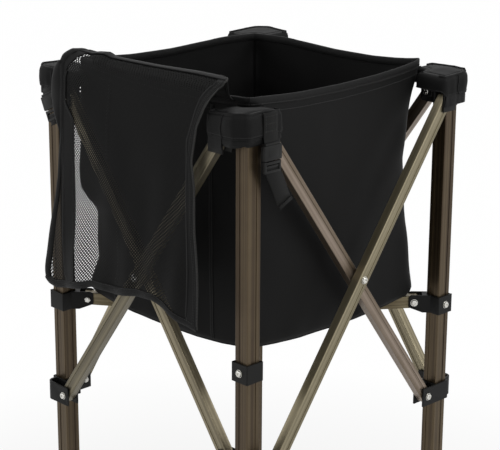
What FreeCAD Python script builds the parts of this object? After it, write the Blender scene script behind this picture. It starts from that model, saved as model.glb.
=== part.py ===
import FreeCAD, Part
import math
import os
import Sketcher

# A folding cart: four square legs, a scissor of two bars on each face, sliders that run on the legs,
# four support arms that meet in a hub, swivel casters, and a bag hung from the tops of the legs.
# Millimetres, Z up, the origin on the floor midway between the legs, the lid side facing minus Y.
# Everything is drawn for the front right corner and the right face, then turned in quarter turns.

doc = FreeCAD.newDocument("folding_cart")
sheet = doc.addObject("Spreadsheet::Sheet", "Sizes")

DRIVING_SIZES = [
    ("leg_spacing", 400, "between the axes of two neighbouring legs"),
    ("leg_width", 24, "outside of the square tube"),
    ("leg_wall", 1.8, "wall of the leg tube"),
    ("leg_groove_width", 9, "shallow channel along each face of a leg"),
    ("groove_depth", 0.7, "depth of the channels in legs and bars"),
    ("leg_top_rise", 37, "top end of the legs above the upper scissor pivots"),
    ("caster_height", 66, "floor to the seat of the caster under the leg"),
    ("mid_height", 514, "centre of the fixed bracket halfway up the leg"),
    ("slider_drop", 141, "scissor pivots on the slider below the fixed bracket"),
    ("scissor_rise", 463, "between the lower and the upper scissor pivots"),
    ("pivot_inset", 32, "scissor pivot from the axis of its leg"),
    ("bar_height", 19, "scissor bar, seen from the side of the cart"),
    ("bar_thickness", 14, "scissor bar, through the cart's side"),
    ("bar_wall", 1.6, "wall of the bars and support arms"),
    ("bar_groove_width", 8, "channel along the wide face of a bar"),
    ("bar_end_crop", 5, "cut off the corners of a bar's ends"),
    ("bracket_height", 29, "slider and fork height"),
    ("bracket_wall", 3.2, "wall of the sleeves"),
    ("plate_thickness", 2.9, "free plates of the forks"),
    ("fork_reach", 43, "end of the fork plates from the axis of the leg"),
    ("web_offset", 8, "back web of the outer fork from the axis of the leg"),
    ("web_round", 11, "outer rounding of that web"),
    ("top_sleeve_rise", 12, "sleeve of the top bracket above the height of the sliders' sleeves"),
    ("mid_bracket_height", 27.4, "fixed bracket"),
    ("arm_pivot_reach", 36, "support arm's outer pivot from the axis of the leg, along the diagonal"),
    ("arm_plate_end", 8.5, "plates of the fixed bracket beyond the arm's pivot"),
    ("arm_pivot_rise", 2, "support arm's pivot above the centre of the fixed bracket"),
    ("arm_fall", 12, "the hub's pivots below the arms' outer pivots"),
    ("hub_pivot_radius", 56, "the hub's pivots from its centre"),
    ("hub_plate_drop", 14, "top of the hub's plate below its pivots"),
    ("hub_plate_thickness", 5, "plate of the hub"),
    ("hub_ear_thickness", 3, "ears of the hub"),
    ("bolt_radius", 2.5, "shank of every pivot bolt"),
    ("bolt_head_radius", 4.9, "pan head"),
    ("bolt_head_height", 2.6, "pan head"),
    ("nut_radius", 4.6, "hexagon nut, across its corners by two"),
    ("nut_height", 3.6, "hexagon nut"),
    ("pivot_clearance", 0.05, "bolt in its hole"),
    ("slide_clearance", 0.3, "slider on its leg, bar beside its plates, pieces that pass each other"),
    ("wheel_radius", 25, "caster wheel"),
    ("wheel_width", 17, "caster wheel"),
    ("wheel_axle_radius", 3, "axle of the caster"),
    ("caster_trail", 20, "axle behind the swivel axis"),
    ("caster_cheek", 2.6, "cheek of the caster fork"),
    ("caster_stem_radius", 5.5, "swivel stem"),
    ("caster_stem_length", 34, "swivel stem above its seat"),
    ("bag_half_width", 177, "outside of the bag's walls from the centre"),
    ("bag_wall", 3, "bag wall with its stiffener"),
    ("bag_floor_gap", 0.8, "underside of the bag above the fixed brackets"),
    ("bag_rim_rise", 5, "rim of the bag above the tops of the legs"),
    ("cloth", 1.8, "doubled cloth of the corner pockets"),
    ("pocket_top_rise", 7, "top of a corner pocket above the tops of the legs"),
    ("pocket_height", 44, "corner pocket from its top to its hem"),
    ("strap_width", 25, "webbing of the buckles"),
    ("strap_thickness", 1.6, "webbing of the buckles"),
    ("strap_drop", 44, "webbing from the pocket's top to the buckle"),
    ("buckle_length", 32, "closed side release buckle"),
    ("buckle_thickness", 7, "closed side release buckle"),
    ("strap_tail", 72, "loose end of the webbing below the buckle"),
    ("lid_width", 347, "mesh lid along its foot"),
    ("lid_drop", 352, "mesh lid, hanging"),
    ("lid_thickness", 2.4, "mesh lid with its binding"),
    ("lid_crest_rise", 34, "crest of the hanging lid above the bag's rim"),
    ("lid_crest_reach", 35, "crest of the hanging lid in front of the bag"),
    ("lid_gap", 4, "hanging lid in front of the corner pockets"),
    ("lid_fold_depth", 5, "height of the lid's hanging folds"),
    ("lid_fold_round", 40, "rounding of the lid's hanging folds"),
]

# Seen from the front: the right edge of the hanging lid from its crest down, its foot, and the left
# edge back up, as shares of the lid's width from the cart's centre and of its drop.
LID_EDGE_SHARES = [
    (0.58, 0), (0.46, -0.09), (0.39, -0.30), (0.41, -0.44), (0.43, -0.98),
    (-0.08, -0.96), (-0.57, -1), (-0.51, -0.69), (-0.40, -0.21), (-0.40, 0),
]


def fill_sheet():
    for row, (alias, number, meaning) in enumerate(DRIVING_SIZES, start=1):
        sheet.set(f"A{row}", alias)
        sheet.set(f"B{row}", str(number))
        sheet.set(f"C{row}", meaning)
        sheet.setAlias(f"B{row}", alias)
    doc.recompute()


class Size:
    # A size as the sheet's expression and as its present number, so that one formula gives both.
    def __init__(self, text, number):
        self.text = text
        self.number = number

    def joined(self, sign, other, number):
        return Size(f"({self.text} {sign} {other.text})", number)

    def __add__(self, other):
        return self.joined("+", other, self.number + other.number)

    def __sub__(self, other):
        return self.joined("-", other, self.number - other.number)

    def __neg__(self):
        return Size(f"(-1 * {self.text})", -self.number)

    def __mul__(self, factor):
        return Size(f"({self.text} * {factor})", self.number * factor)

    def __truediv__(self, factor):
        return Size(f"({self.text} / {factor})", self.number / factor)


def size(alias):
    return Size("Sizes." + alias, float(sheet.get(alias)))


def hypotenuse(a, b):
    return Size(f"sqrt({a.text} ^ 2 + {b.text} ^ 2)", math.hypot(a.number, b.number))


fill_sheet()
ZERO = Size("0", 0)
S = {alias: size(alias) for alias, number, meaning in DRIVING_SIZES}
clear = S["slide_clearance"]
half_spacing = S["leg_spacing"] / 2
leg_half = S["leg_width"] / 2
bore_half = leg_half - S["leg_wall"]
sleeve_inner = leg_half + clear
sleeve_outer = sleeve_inner + S["bracket_wall"]
bar_gap = S["bar_thickness"] + clear * 2
slider_height = S["mid_height"] - S["slider_drop"]
top_pivot_height = slider_height + S["scissor_rise"]
half_run = half_spacing - S["pivot_inset"]
bar_pitch = hypotenuse(half_run * 2, S["scissor_rise"])
bar_lean = math.degrees(math.atan2(half_run.number * 2, S["scissor_rise"].number))
inner_bar_offset = sleeve_inner - clear - S["bar_thickness"] / 2
outer_bar_offset = sleeve_outer + clear + S["bar_thickness"] / 2
outer_plate_face = sleeve_outer + bar_gap + S["plate_thickness"]
inner_plate_face = bar_gap + S["plate_thickness"] - sleeve_inner
hole_radius = S["bolt_radius"] + S["pivot_clearance"]
arm_pivot_height = S["mid_height"] + S["arm_pivot_rise"]
hub_pivot_height = arm_pivot_height - S["arm_fall"]
leg_diagonal = half_spacing * math.sqrt(2)
arm_run = leg_diagonal - S["arm_pivot_reach"] - S["hub_pivot_radius"]
arm_pitch = hypotenuse(arm_run, S["arm_fall"])
arm_lean = math.degrees(math.atan2(S["arm_fall"].number, arm_run.number))
leg_top_height = top_pivot_height + S["leg_top_rise"]
bag_floor_height = S["mid_height"] + S["mid_bracket_height"] / 2 + S["bag_floor_gap"]
bag_rim_height = leg_top_height + S["bag_rim_rise"]
over_head = S["bolt_head_height"] + clear
over_nut = S["nut_height"] + clear
pocket_base_height = leg_top_height + S["pocket_top_rise"] - S["pocket_height"]
lid_face_reach = half_spacing + outer_plate_face + over_head + S["cloth"] + S["lid_gap"]
lid_crest_reach = S["bag_half_width"] + S["lid_crest_reach"]

CORNERS = ["front_right", "back_right", "back_left", "front_left"]
FACES = ["right", "back", "left", "front"]
DIAGONAL = 135
LID_FOLD_ENDS = 9
NEAR = 0.01
made = []


# Helpers for bodies and sketches

def new_body(label):
    body = doc.addObject("PartDesign::Body", label)
    body.Label = label
    return body


def new_sketch(body, plane, lift=ZERO, turn=None):
    sketch = body.newObject("Sketcher::SketchObject", f"{body.Name}_{len(body.Group)}")
    origin_plane = [f for f in body.Origin.OriginFeatures if f.Role == plane][0]
    sketch.AttachmentSupport = [(origin_plane, "")]
    sketch.MapMode = "FlatFace"
    if turn is not None:
        sketch.AttachmentOffset = FreeCAD.Placement(FreeCAD.Vector(0, 0, 0), turn)
    sketch.setExpression("AttachmentOffset.Base.z", lift.text)
    return sketch


def pin_point(sketch, geometry, point, x, y):
    for kind, value in (("DistanceX", x), ("DistanceY", y)):
        index = sketch.addConstraint(Sketcher.Constraint(kind, -1, 1, geometry, point, value.number))
        sketch.setExpression(f"Constraints[{index}]", value.text)


def draw_loop(sketch, corners):
    first = sketch.GeometryCount
    count = len(corners)
    points = [FreeCAD.Vector(x.number, y.number, 0) for x, y in corners]
    for i in range(count):
        sketch.addGeometry(Part.LineSegment(points[i], points[(i + 1) % count]), False)
    for i in range(count):
        sketch.addConstraint(Sketcher.Constraint("Coincident", first + i, 2, first + (i + 1) % count, 1))
        pin_point(sketch, first + i, 1, *corners[i])


def draw_box(sketch, x0, y0, x1, y1):
    draw_loop(sketch, [(x0, y0), (x1, y0), (x1, y1), (x0, y1)])


def draw_circle(sketch, x, y, radius):
    middle = FreeCAD.Vector(x.number, y.number, 0)
    index = sketch.addGeometry(Part.Circle(middle, FreeCAD.Vector(0, 0, 1), radius.number), False)
    pin_point(sketch, index, 3, x, y)
    rule = sketch.addConstraint(Sketcher.Constraint("Radius", index, radius.number))
    sketch.setExpression(f"Constraints[{rule}]", radius.text)


def add_pad(body, sketch, length, middle=False, back=False):
    pad = body.newObject("PartDesign::Pad", sketch.Name + "_pad")
    pad.Profile = sketch
    pad.SideType = "Symmetric" if middle else "One side"
    pad.Reversed = back
    pad.setExpression("Length", length.text)
    body.Tip = pad
    doc.recompute()
    return pad


def add_pocket(body, sketch, length=None, middle=False, back=False):
    before = body.Shape.Volume
    pocket = body.newObject("PartDesign::Pocket", sketch.Name + "_pocket")
    pocket.Profile = sketch
    pocket.SideType = "Symmetric" if middle else "One side"
    pocket.Reversed = back
    if length is None:
        pocket.Type = "ThroughAll"
    else:
        pocket.setExpression("Length", length.text)
    body.Tip = pocket
    doc.recompute()
    if body.Shape.Volume >= before:
        raise ValueError(f"{pocket.Name} of {body.Label} cuts nothing")
    return pocket


def add_fillet(body, radius, wanted):
    base = body.Tip
    edges = [f"Edge{i}" for i, edge in enumerate(base.Shape.Edges, start=1) if wanted(edge)]
    if not edges:
        raise ValueError(f"no edge of {body.Label} to round")
    fillet = body.newObject("PartDesign::Fillet", body.Name + f"_round{len(body.Group)}")
    fillet.Base = (base, edges)
    fillet.setExpression("Radius", radius.text)
    body.Tip = fillet
    doc.recompute()
    return fillet


def upright(edge):
    start, end = edge.Vertexes[0].Point, edge.Vertexes[-1].Point
    return math.hypot(start.x - end.x, start.y - end.y) < NEAR and abs(start.z - end.z) > NEAR


def upright_at(places):
    def wanted(edge):
        at = edge.Vertexes[0].Point
        return upright(edge) and any(
            math.hypot(at.x - x.number, at.y - y.number) < NEAR for x, y in places
        )
    return wanted


def quarter(x, y, turns):
    # A point turned about the cart's axis in quarter turns.
    return [(x, y), (-y, x), (-x, -y), (y, -x)][turns % 4]


def seat(part, x, y, z, turns=0, lean=None):
    # Put a finished sub-part in its place, turned by quarter turns after its own lean.
    rotation = FreeCAD.Rotation(FreeCAD.Vector(0, 0, 1), 90 * turns)
    if lean is not None:
        rotation = rotation.multiply(lean)
    part.Placement = FreeCAD.Placement(FreeCAD.Vector(0, 0, 0), rotation)
    place = quarter(x, y, turns)
    for axis, value in zip("xyz", (place[0], place[1], z)):
        part.setExpression(f"Placement.Base.{axis}", value.text)
    made.append(part)
    return part


# Legs, bars and support arms: extruded tubes with shallow channels

def tube_outline(half_x, half_y, groove_x, groove_y, depth):
    # Once round the tube, with a channel in the middle of each face. A face with no channel has none.
    points = []
    for turn in range(4):
        across, along = (half_x, half_y) if turn % 2 == 0 else (half_y, half_x)
        groove = groove_x if turn % 2 == 0 else groove_y
        face = [(across, -along)]
        if groove is not None:
            face += [
                (across, -groove), (across - depth, -groove),
                (across - depth, groove), (across, groove),
            ]
        points += [quarter(x, y, turn) for x, y in face]
    return points


def make_leg(corner, turns):
    body = new_body(f"leg_{corner}")
    section = new_sketch(body, "XY_Plane")
    groove = S["leg_groove_width"] / 2
    draw_loop(section, tube_outline(leg_half, leg_half, groove, groove, S["groove_depth"]))
    draw_box(section, -bore_half, -bore_half, bore_half, bore_half)
    foot = S["caster_height"] + clear
    add_pad(body, section, leg_top_height - foot)
    add_fillet(body, S["leg_wall"] / 1.5, upright_at(
        [quarter(leg_half, leg_half, turn) for turn in range(4)]))
    screw_hole = new_sketch(body, "XZ_Plane")
    draw_circle(screw_hole, ZERO, S["mid_height"] - foot, hole_radius)
    add_pocket(body, screw_hole, back=True)
    seat(body, half_spacing, -half_spacing, foot, turns)


def make_bar(label, pitch, holes):
    # A flat tube along Z with its pivot holes along X, and cropped ends, its middle at the origin.
    body = new_body(label)
    half_x, half_y = S["bar_thickness"] / 2, S["bar_height"] / 2
    section = new_sketch(body, "XY_Plane")
    draw_loop(section, tube_outline(half_x, half_y, S["bar_groove_width"] / 2, None, S["groove_depth"]))
    inner_x, inner_y = half_x - S["bar_wall"] - S["groove_depth"], half_y - S["bar_wall"]
    draw_box(section, -inner_x, -inner_y, inner_x, inner_y)
    length = pitch + half_y * 2
    add_pad(body, section, length, middle=True)
    add_fillet(body, S["bar_wall"] / 1.5, upright_at([
        (half_x, half_y), (-half_x, half_y), (-half_x, -half_y), (half_x, -half_y)]))
    crop, tip = S["bar_end_crop"], length / 2
    ends = new_sketch(body, "YZ_Plane")
    for y, z, step_y, step_z in (
        (half_y, tip, -crop, -crop), (-half_y, tip, crop, -crop),
        (-half_y, -tip, crop, crop), (half_y, -tip, -crop, crop),
    ):
        draw_loop(ends, [(y, z), (y + step_y, z), (y, z + step_z)])
    add_pocket(body, ends, middle=True)
    drilled = new_sketch(body, "YZ_Plane")
    for z in holes:
        draw_circle(drilled, ZERO, z, hole_radius)
    add_pocket(body, drilled, middle=True)
    return body


def make_scissor(face, turns):
    # The inner bar falls from the left top to the right bottom, the outer bar rises across it.
    holes = [bar_pitch / 2, ZERO, -bar_pitch / 2]
    middle = slider_height + S["scissor_rise"] / 2
    for kind, offset, sign in (("inner", inner_bar_offset, 1), ("outer", outer_bar_offset, -1)):
        body = make_bar(f"bar_{kind}_{face}", bar_pitch, holes)
        lean = FreeCAD.Rotation(FreeCAD.Vector(1, 0, 0), sign * bar_lean)
        seat(body, half_spacing + offset, ZERO, middle, turns, lean)


def make_support_arm(corner, turns):
    # Along the diagonal, from the fixed bracket down to the hub.
    body = make_bar(f"support_arm_{corner}", arm_pitch, [arm_pitch / 2, -arm_pitch / 2])
    flat = FreeCAD.Rotation(FreeCAD.Vector(0, 1, 0), 90 + arm_lean)
    on_edge = FreeCAD.Rotation(FreeCAD.Vector(0, 0, 1), 90)
    lean = FreeCAD.Rotation(FreeCAD.Vector(0, 0, 1), DIAGONAL - 180).multiply(flat).multiply(on_edge)
    lean = FreeCAD.Rotation(FreeCAD.Vector(0, 0, 1), 180).multiply(lean)
    radius = (S["hub_pivot_radius"] + arm_run / 2) / math.sqrt(2)
    seat(body, radius, -radius, arm_pivot_height - S["arm_fall"] / 2, turns, lean)


# Brackets

def fork_outline():
    # Seen from above, about the leg's axis: a sleeve, a U-shaped fork outside the right face that
    # reaches back, and a flat fork flush with the front face that reaches left.
    reach, web = S["fork_reach"], S["web_offset"]
    wall = S["bracket_wall"]
    gap_end = outer_plate_face - S["plate_thickness"]
    near_plate = inner_plate_face - S["plate_thickness"]
    return [
        (-reach, -sleeve_outer), (sleeve_outer, -sleeve_outer), (sleeve_outer, -web),
        (outer_plate_face, -web), (outer_plate_face, reach), (gap_end, reach),
        (gap_end, wall - web), (sleeve_outer, wall - web), (sleeve_outer, reach),
        (sleeve_inner, reach), (sleeve_inner, sleeve_outer), (-sleeve_outer, sleeve_outer),
        (-sleeve_outer, inner_plate_face), (-reach, inner_plate_face), (-reach, near_plate),
        (-sleeve_outer, near_plate), (-sleeve_outer, -sleeve_inner), (-reach, -sleeve_inner),
    ]


def drill_forks(body):
    # One hole across each fork, at the height of the scissor pivots.
    inset = S["pivot_inset"]
    across_x = new_sketch(body, "YZ_Plane")
    draw_circle(across_x, inset, ZERO, hole_radius)
    add_pocket(body, across_x, middle=True)
    across_y = new_sketch(body, "XZ_Plane")
    draw_circle(across_y, -inset, ZERO, hole_radius)
    add_pocket(body, across_y, middle=True)


def mirror_outline(points):
    # The same fork on the other side of the diagonal, for the top bracket.
    return [(-y, -x) for x, y in reversed(points)]


def make_fork_body(label, mirrored, height, rise):
    body = new_body(label)
    outline = fork_outline()
    outside = [(outer_plate_face, -S["web_offset"])]
    inside = [(outer_plate_face - S["plate_thickness"], S["bracket_wall"] - S["web_offset"])]
    if mirrored:
        outline, outside, inside = (mirror_outline(points) for points in (outline, outside, inside))
    section = new_sketch(body, "XY_Plane", rise)
    draw_loop(section, outline)
    draw_box(section, -sleeve_inner, -sleeve_inner, sleeve_inner, sleeve_inner)
    add_pad(body, section, height, middle=True)
    add_fillet(body, S["web_round"] - S["bracket_wall"], upright_at(inside))
    add_fillet(body, S["web_round"], upright_at(outside))
    add_fillet(body, S["plate_thickness"], upright_at([
        (sleeve_outer, -sleeve_outer), (-sleeve_outer, sleeve_outer)]))
    return body


def make_slider(corner, turns):
    body = make_fork_body(f"slider_{corner}", False, S["bracket_height"], ZERO)
    drill_forks(body)
    seat(body, half_spacing, -half_spacing, slider_height, turns)


def make_top_bracket(corner, turns):
    # Its sleeve sits higher than its pivots, under the corner pocket, and its plates hang down to them.
    rise = S["top_sleeve_rise"]
    body = make_fork_body(f"top_bracket_{corner}", True, S["bracket_height"] + rise, rise / 2)
    trim = new_sketch(body, "XY_Plane", -S["bracket_height"] / 2)
    edge = outer_plate_face + clear
    keep = sleeve_outer + clear
    draw_box(trim, -keep, -edge, edge, keep)
    add_pocket(body, trim, rise, back=True)
    drill_forks(body)
    seat(body, half_spacing, -half_spacing, top_pivot_height, turns)


def make_mid_bracket(corner, turns):
    # A sleeve screwed to the leg, with two plates toward the centre for the support arm.
    body = new_body(f"mid_bracket_{corner}")
    half_height = S["mid_bracket_height"] / 2
    to_centre = FreeCAD.Rotation(FreeCAD.Vector(0, 1, 0), DIAGONAL)
    reach, end = S["arm_pivot_reach"], S["arm_plate_end"]
    side = new_sketch(body, "XZ_Plane", turn=to_centre)
    draw_loop(side, [
        (ZERO, -half_height), (reach - end * 1.5, -half_height), (reach + end, -end / 1.5),
        (reach + end, half_height - end / 3), (reach + end / 2, half_height), (ZERO, half_height),
    ])
    add_pad(body, side, bar_gap + S["plate_thickness"] * 2, middle=True)
    sleeve = new_sketch(body, "XY_Plane")
    draw_box(sleeve, -sleeve_outer, -sleeve_outer, sleeve_outer, sleeve_outer)
    add_pad(body, sleeve, S["mid_bracket_height"], middle=True)
    add_fillet(body, S["plate_thickness"] / 2, upright_at([
        (sleeve_outer, -sleeve_outer), (sleeve_outer, sleeve_outer), (-sleeve_outer, -sleeve_outer)]))
    grip = leg_half + S["pivot_clearance"]
    bore = new_sketch(body, "XY_Plane")
    draw_box(bore, -grip, -grip, grip, grip)
    add_pocket(body, bore, middle=True)
    slot = new_sketch(body, "XZ_Plane", turn=to_centre)
    slot_start = reach - S["bar_height"] / 2 - S["bar_end_crop"] / 2
    draw_box(slot, slot_start, -half_height * 2, reach + end * 2, half_height * 2)
    add_pocket(body, slot, bar_gap, middle=True)
    drilled = new_sketch(body, "XZ_Plane", turn=to_centre)
    draw_circle(drilled, reach, S["arm_pivot_rise"], hole_radius)
    add_pocket(body, drilled, bar_gap * 2, middle=True)
    screw_hole = new_sketch(body, "XZ_Plane")
    draw_circle(screw_hole, ZERO, ZERO, hole_radius)
    add_pocket(body, screw_hole, back=True)
    seat(body, half_spacing, -half_spacing, S["mid_height"], turns)


# Bolts, nuts and the caster's sleeve, grouped by what they are fixed to

def rod(name, radius, length, place, direction):
    piece = doc.addObject("Part::Cylinder", name)
    piece.setExpression("Radius", radius.text)
    piece.setExpression("Height", length.text)
    return lay(piece, place, direction)


def lay(piece, place, direction):
    turn = FreeCAD.Rotation(FreeCAD.Vector(0, 0, 1), FreeCAD.Vector(*direction))
    piece.Placement = FreeCAD.Placement(FreeCAD.Vector(0, 0, 0), turn)
    for axis, value in zip("xyz", place):
        piece.setExpression(f"Placement.Base.{axis}", value.text)
    return piece


def along(place, direction, distance):
    return [value + distance * step for value, step in zip(place, direction)]


def make_bolt(name, place, direction, length, with_nut=True):
    # place is under the head, and direction points from the head to the nut.
    shank_end = S["nut_height"] if with_nut else ZERO
    back = [-step for step in direction]
    shank = rod(name + "_shank", S["bolt_radius"], length + shank_end, place, direction)
    head = doc.addObject("Part::Cone", name + "_head")
    head.setExpression("Radius1", S["bolt_head_radius"].text)
    head.setExpression("Radius2", (S["bolt_head_radius"] * 0.7).text)
    head.setExpression("Height", S["bolt_head_height"].text)
    lay(head, place, back)
    pieces = [shank, head]
    if with_nut:
        nut = doc.addObject("Part::Prism", name + "_nut")
        nut.Polygon = 6
        nut.setExpression("Circumradius", S["nut_radius"].text)
        nut.setExpression("Height", S["nut_height"].text)
        lay(nut, along(place, direction, length), direction)
        pieces.append(nut)
    whole = doc.addObject("Part::MultiFuse", name)
    whole.Shapes = pieces
    return whole


def group(label, pieces):
    whole = doc.addObject("Part::Compound", label)
    whole.Label = label
    whole.Links = pieces
    return whole


def fork_bolts(name, mirrored):
    # The two pivot bolts of a slider, or of a top bracket when mirrored.
    inset = S["pivot_inset"]
    outer_length = outer_plate_face - sleeve_inner
    inner_length = sleeve_outer + inner_plate_face
    if mirrored:
        return [
            make_bolt(name + "_outer", [-inset, -outer_plate_face, ZERO], (0, 1, 0), outer_length),
            make_bolt(name + "_inner", [sleeve_outer, inset, ZERO], (-1, 0, 0), inner_length),
        ]
    return [
        make_bolt(name + "_outer", [outer_plate_face, inset, ZERO], (-1, 0, 0), outer_length),
        make_bolt(name + "_inner", [-inset, -sleeve_outer, ZERO], (0, 1, 0), inner_length),
    ]


def make_slider_bolts(corner, turns):
    label = f"slider_bolts_{corner}"
    whole = group(label, fork_bolts(label, False))
    seat(whole, half_spacing, -half_spacing, slider_height, turns)


def make_leg_fittings(corner, turns):
    # Everything that is fastened to the leg: both top pivots, the arm's pivot, a screw and a sleeve.
    label = f"leg_fittings_{corner}"
    pieces = fork_bolts(label, True)
    diagonal = math.sqrt(0.5)
    drop = S["mid_height"] - top_pivot_height
    half_fork = bar_gap / 2 + S["plate_thickness"]
    reach = S["arm_pivot_reach"] * diagonal
    side = half_fork * diagonal
    arm_place = [-reach - side, reach - side, drop + S["arm_pivot_rise"]]
    pieces.append(make_bolt(label + "_arm", arm_place, (diagonal, diagonal, 0), half_fork * 2))
    screw_place = [ZERO, -sleeve_outer, drop]
    screw_length = S["bracket_wall"] + S["leg_wall"] * 2
    screw = make_bolt(label + "_screw", screw_place, (0, 1, 0), screw_length, with_nut=False)
    pieces.append(screw)
    foot = S["caster_height"] + clear - top_pivot_height
    outer = rod(label + "_plug", bore_half - S["pivot_clearance"], S["caster_stem_length"],
                [ZERO, ZERO, foot], (0, 0, 1))
    inner = rod(label + "_plug_bore", S["caster_stem_radius"] + S["pivot_clearance"],
                S["caster_stem_length"], [ZERO, ZERO, foot], (0, 0, 1))
    plug = doc.addObject("Part::Cut", label + "_plug_ring")
    plug.Base = outer
    plug.Tool = inner
    pieces.append(plug)
    whole = group(label, pieces)
    seat(whole, half_spacing, -half_spacing, top_pivot_height, turns)


def make_crossing_bolt(face, turns):
    # Through both bars where they cross, with a washer that keeps them apart.
    label = f"crossing_bolt_{face}"
    outside = outer_bar_offset + S["bar_thickness"] / 2
    inside = inner_bar_offset - S["bar_thickness"] / 2
    bolt = make_bolt(label + "_bolt", [outside, ZERO, ZERO], (-1, 0, 0), outside - inside + clear)
    gap_start = inner_bar_offset + S["bar_thickness"] / 2 + clear
    gap_end = outer_bar_offset - S["bar_thickness"] / 2
    ring = rod(label + "_ring", S["bolt_head_radius"], gap_end - gap_start, [gap_start, ZERO, ZERO], (1, 0, 0))
    whole = doc.addObject("Part::Fuse", label)
    whole.Label = label
    whole.Base = bolt
    whole.Tool = ring
    seat(whole, half_spacing, ZERO, slider_height + S["scissor_rise"] / 2, turns)


# Hub under the bag, where the support arms meet

def make_hub():
    # The front right arm is held between two ears. Each other arm lies against one ear.
    plate_top = -S["hub_plate_drop"]
    ear_height = S["hub_plate_drop"] + S["bar_height"] / 3
    radius, ear = S["hub_pivot_radius"], S["hub_ear_thickness"]
    ear_length = S["bar_height"] * 0.8
    side = S["bar_thickness"] / 2 + clear
    body = new_body("hub")
    base = new_sketch(body, "XY_Plane", plate_top)
    arm_half = side + ear
    tip = radius + ear_length / 2
    draw_loop(base, [
        quarter(x, y, turn) for turn in range(4)
        for x, y in ((tip, -arm_half), (tip, arm_half), (arm_half * 2, arm_half * 2))
    ])
    add_pad(body, base, S["hub_plate_thickness"], back=True)
    ears = new_sketch(body, "XY_Plane", plate_top)
    inner, outer = radius - ear_length / 2, radius + ear_length / 2
    draw_box(ears, inner, side, outer, side + ear)
    draw_box(ears, inner, -side - ear, outer, -side)
    draw_box(ears, -side - ear, inner, -side, outer)
    draw_box(ears, -side - ear, -outer, -side, -inner)
    draw_box(ears, -outer, side, -inner, side + ear)
    add_pad(body, ears, ear_height)
    pin = new_sketch(body, "XZ_Plane")
    draw_circle(pin, radius, ZERO, S["bolt_radius"])
    add_pad(body, pin, (side + ear) * 2, middle=True)
    to_front_right = FreeCAD.Rotation(FreeCAD.Vector(0, 0, 1), -45)
    seat(body, ZERO, ZERO, hub_pivot_height, 0, to_front_right)


# Swivel casters, all trailing toward the back

def make_caster(corner, turns):
    x, y = quarter(half_spacing, -half_spacing, turns)
    gap = S["wheel_width"] / 2 + clear * 2
    width = (gap + S["caster_cheek"]) * 2
    axle_rise, trail = S["wheel_radius"], S["caster_trail"]
    top, crown = S["caster_height"], S["caster_cheek"]
    cheek = S["wheel_radius"] / 2
    body = new_body(f"caster_fork_{corner}")
    side = new_sketch(body, "XZ_Plane")
    draw_loop(side, [
        (-cheek, top), (-cheek, top - cheek), (trail - cheek / 1.5, axle_rise - cheek / 2),
        (trail + cheek / 2, axle_rise - cheek / 2), (trail + cheek / 1.5, axle_rise + cheek / 2),
        (cheek * 1.5, top),
    ])
    add_pad(body, side, width, middle=True)
    room = new_sketch(body, "XZ_Plane")
    draw_circle(room, trail, axle_rise, S["wheel_radius"] + crown)
    add_pocket(body, room, gap * 2, middle=True)
    seat_plate = new_sketch(body, "XY_Plane", top)
    draw_circle(seat_plate, ZERO, ZERO, width / 2)
    add_pad(body, seat_plate, crown, back=True)
    stem = new_sketch(body, "XY_Plane", top)
    draw_circle(stem, ZERO, ZERO, S["caster_stem_radius"])
    add_pad(body, stem, S["caster_stem_length"])
    axle = new_sketch(body, "XZ_Plane")
    draw_circle(axle, trail, axle_rise, S["wheel_axle_radius"])
    add_pad(body, axle, width, middle=True)
    to_back = FreeCAD.Rotation(FreeCAD.Vector(0, 0, 1), 90)
    seat(body, x, y, ZERO, 0, to_back)

    wheel = new_body(f"caster_wheel_{corner}")
    rim = new_sketch(wheel, "XZ_Plane")
    draw_circle(rim, ZERO, ZERO, S["wheel_radius"])
    draw_circle(rim, ZERO, ZERO, S["wheel_axle_radius"] + S["pivot_clearance"])
    add_pad(wheel, rim, S["wheel_width"], middle=True)
    outer_edges = S["wheel_radius"].number
    add_fillet(wheel, S["wheel_width"] / 5, lambda edge: abs(edge.BoundBox.XMax - outer_edges) < NEAR)
    for side_sign in (1, -1):
        dish = new_sketch(wheel, "XZ_Plane", S["wheel_width"] / 2 * side_sign)
        draw_circle(dish, ZERO, ZERO, S["wheel_radius"] * 0.68)
        draw_circle(dish, ZERO, ZERO, S["wheel_axle_radius"] * 2)
        add_pocket(wheel, dish, S["wheel_width"] / 6, back=side_sign < 0)
    seat(wheel, x, y + trail, axle_rise, 0, to_back)


# Bag, corner pockets, straps and lid

def make_bag_wall(face, turns):
    body = new_body(f"bag_wall_{face}")
    plan = new_sketch(body, "XY_Plane")
    outside, inside = S["bag_half_width"], S["bag_half_width"] - S["bag_wall"]
    draw_box(plan, inside, -outside, outside, inside - clear)
    add_pad(body, plan, bag_rim_height - bag_floor_height)
    seat(body, ZERO, ZERO, bag_floor_height, turns)


def make_bag_floor():
    body = new_body("bag_floor")
    plan = new_sketch(body, "XY_Plane")
    half = S["bag_half_width"] - S["bag_wall"] - clear
    draw_box(plan, -half, -half, half, half)
    add_pad(body, plan, S["bag_wall"])
    seat(body, ZERO, ZERO, bag_floor_height)


def pocket_outline(grow):
    # Round the top of the leg and both forks of the top bracket, grown by one thickness for the outside.
    reach = S["fork_reach"] + clear * 2 + grow
    front, right = outer_plate_face + over_head + grow, sleeve_outer + over_head + grow
    behind = over_nut + grow
    left = S["bag_half_width"] + clear - half_spacing
    inner = left + S["cloth"] - grow
    return [
        (-reach, -front), (right, -front), (right, reach), (-inner_plate_face - behind, reach),
        (-inner_plate_face - behind, -inner), (inner, -inner), (inner, behind - sleeve_inner),
        (-reach, behind - sleeve_inner),
    ]


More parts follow.
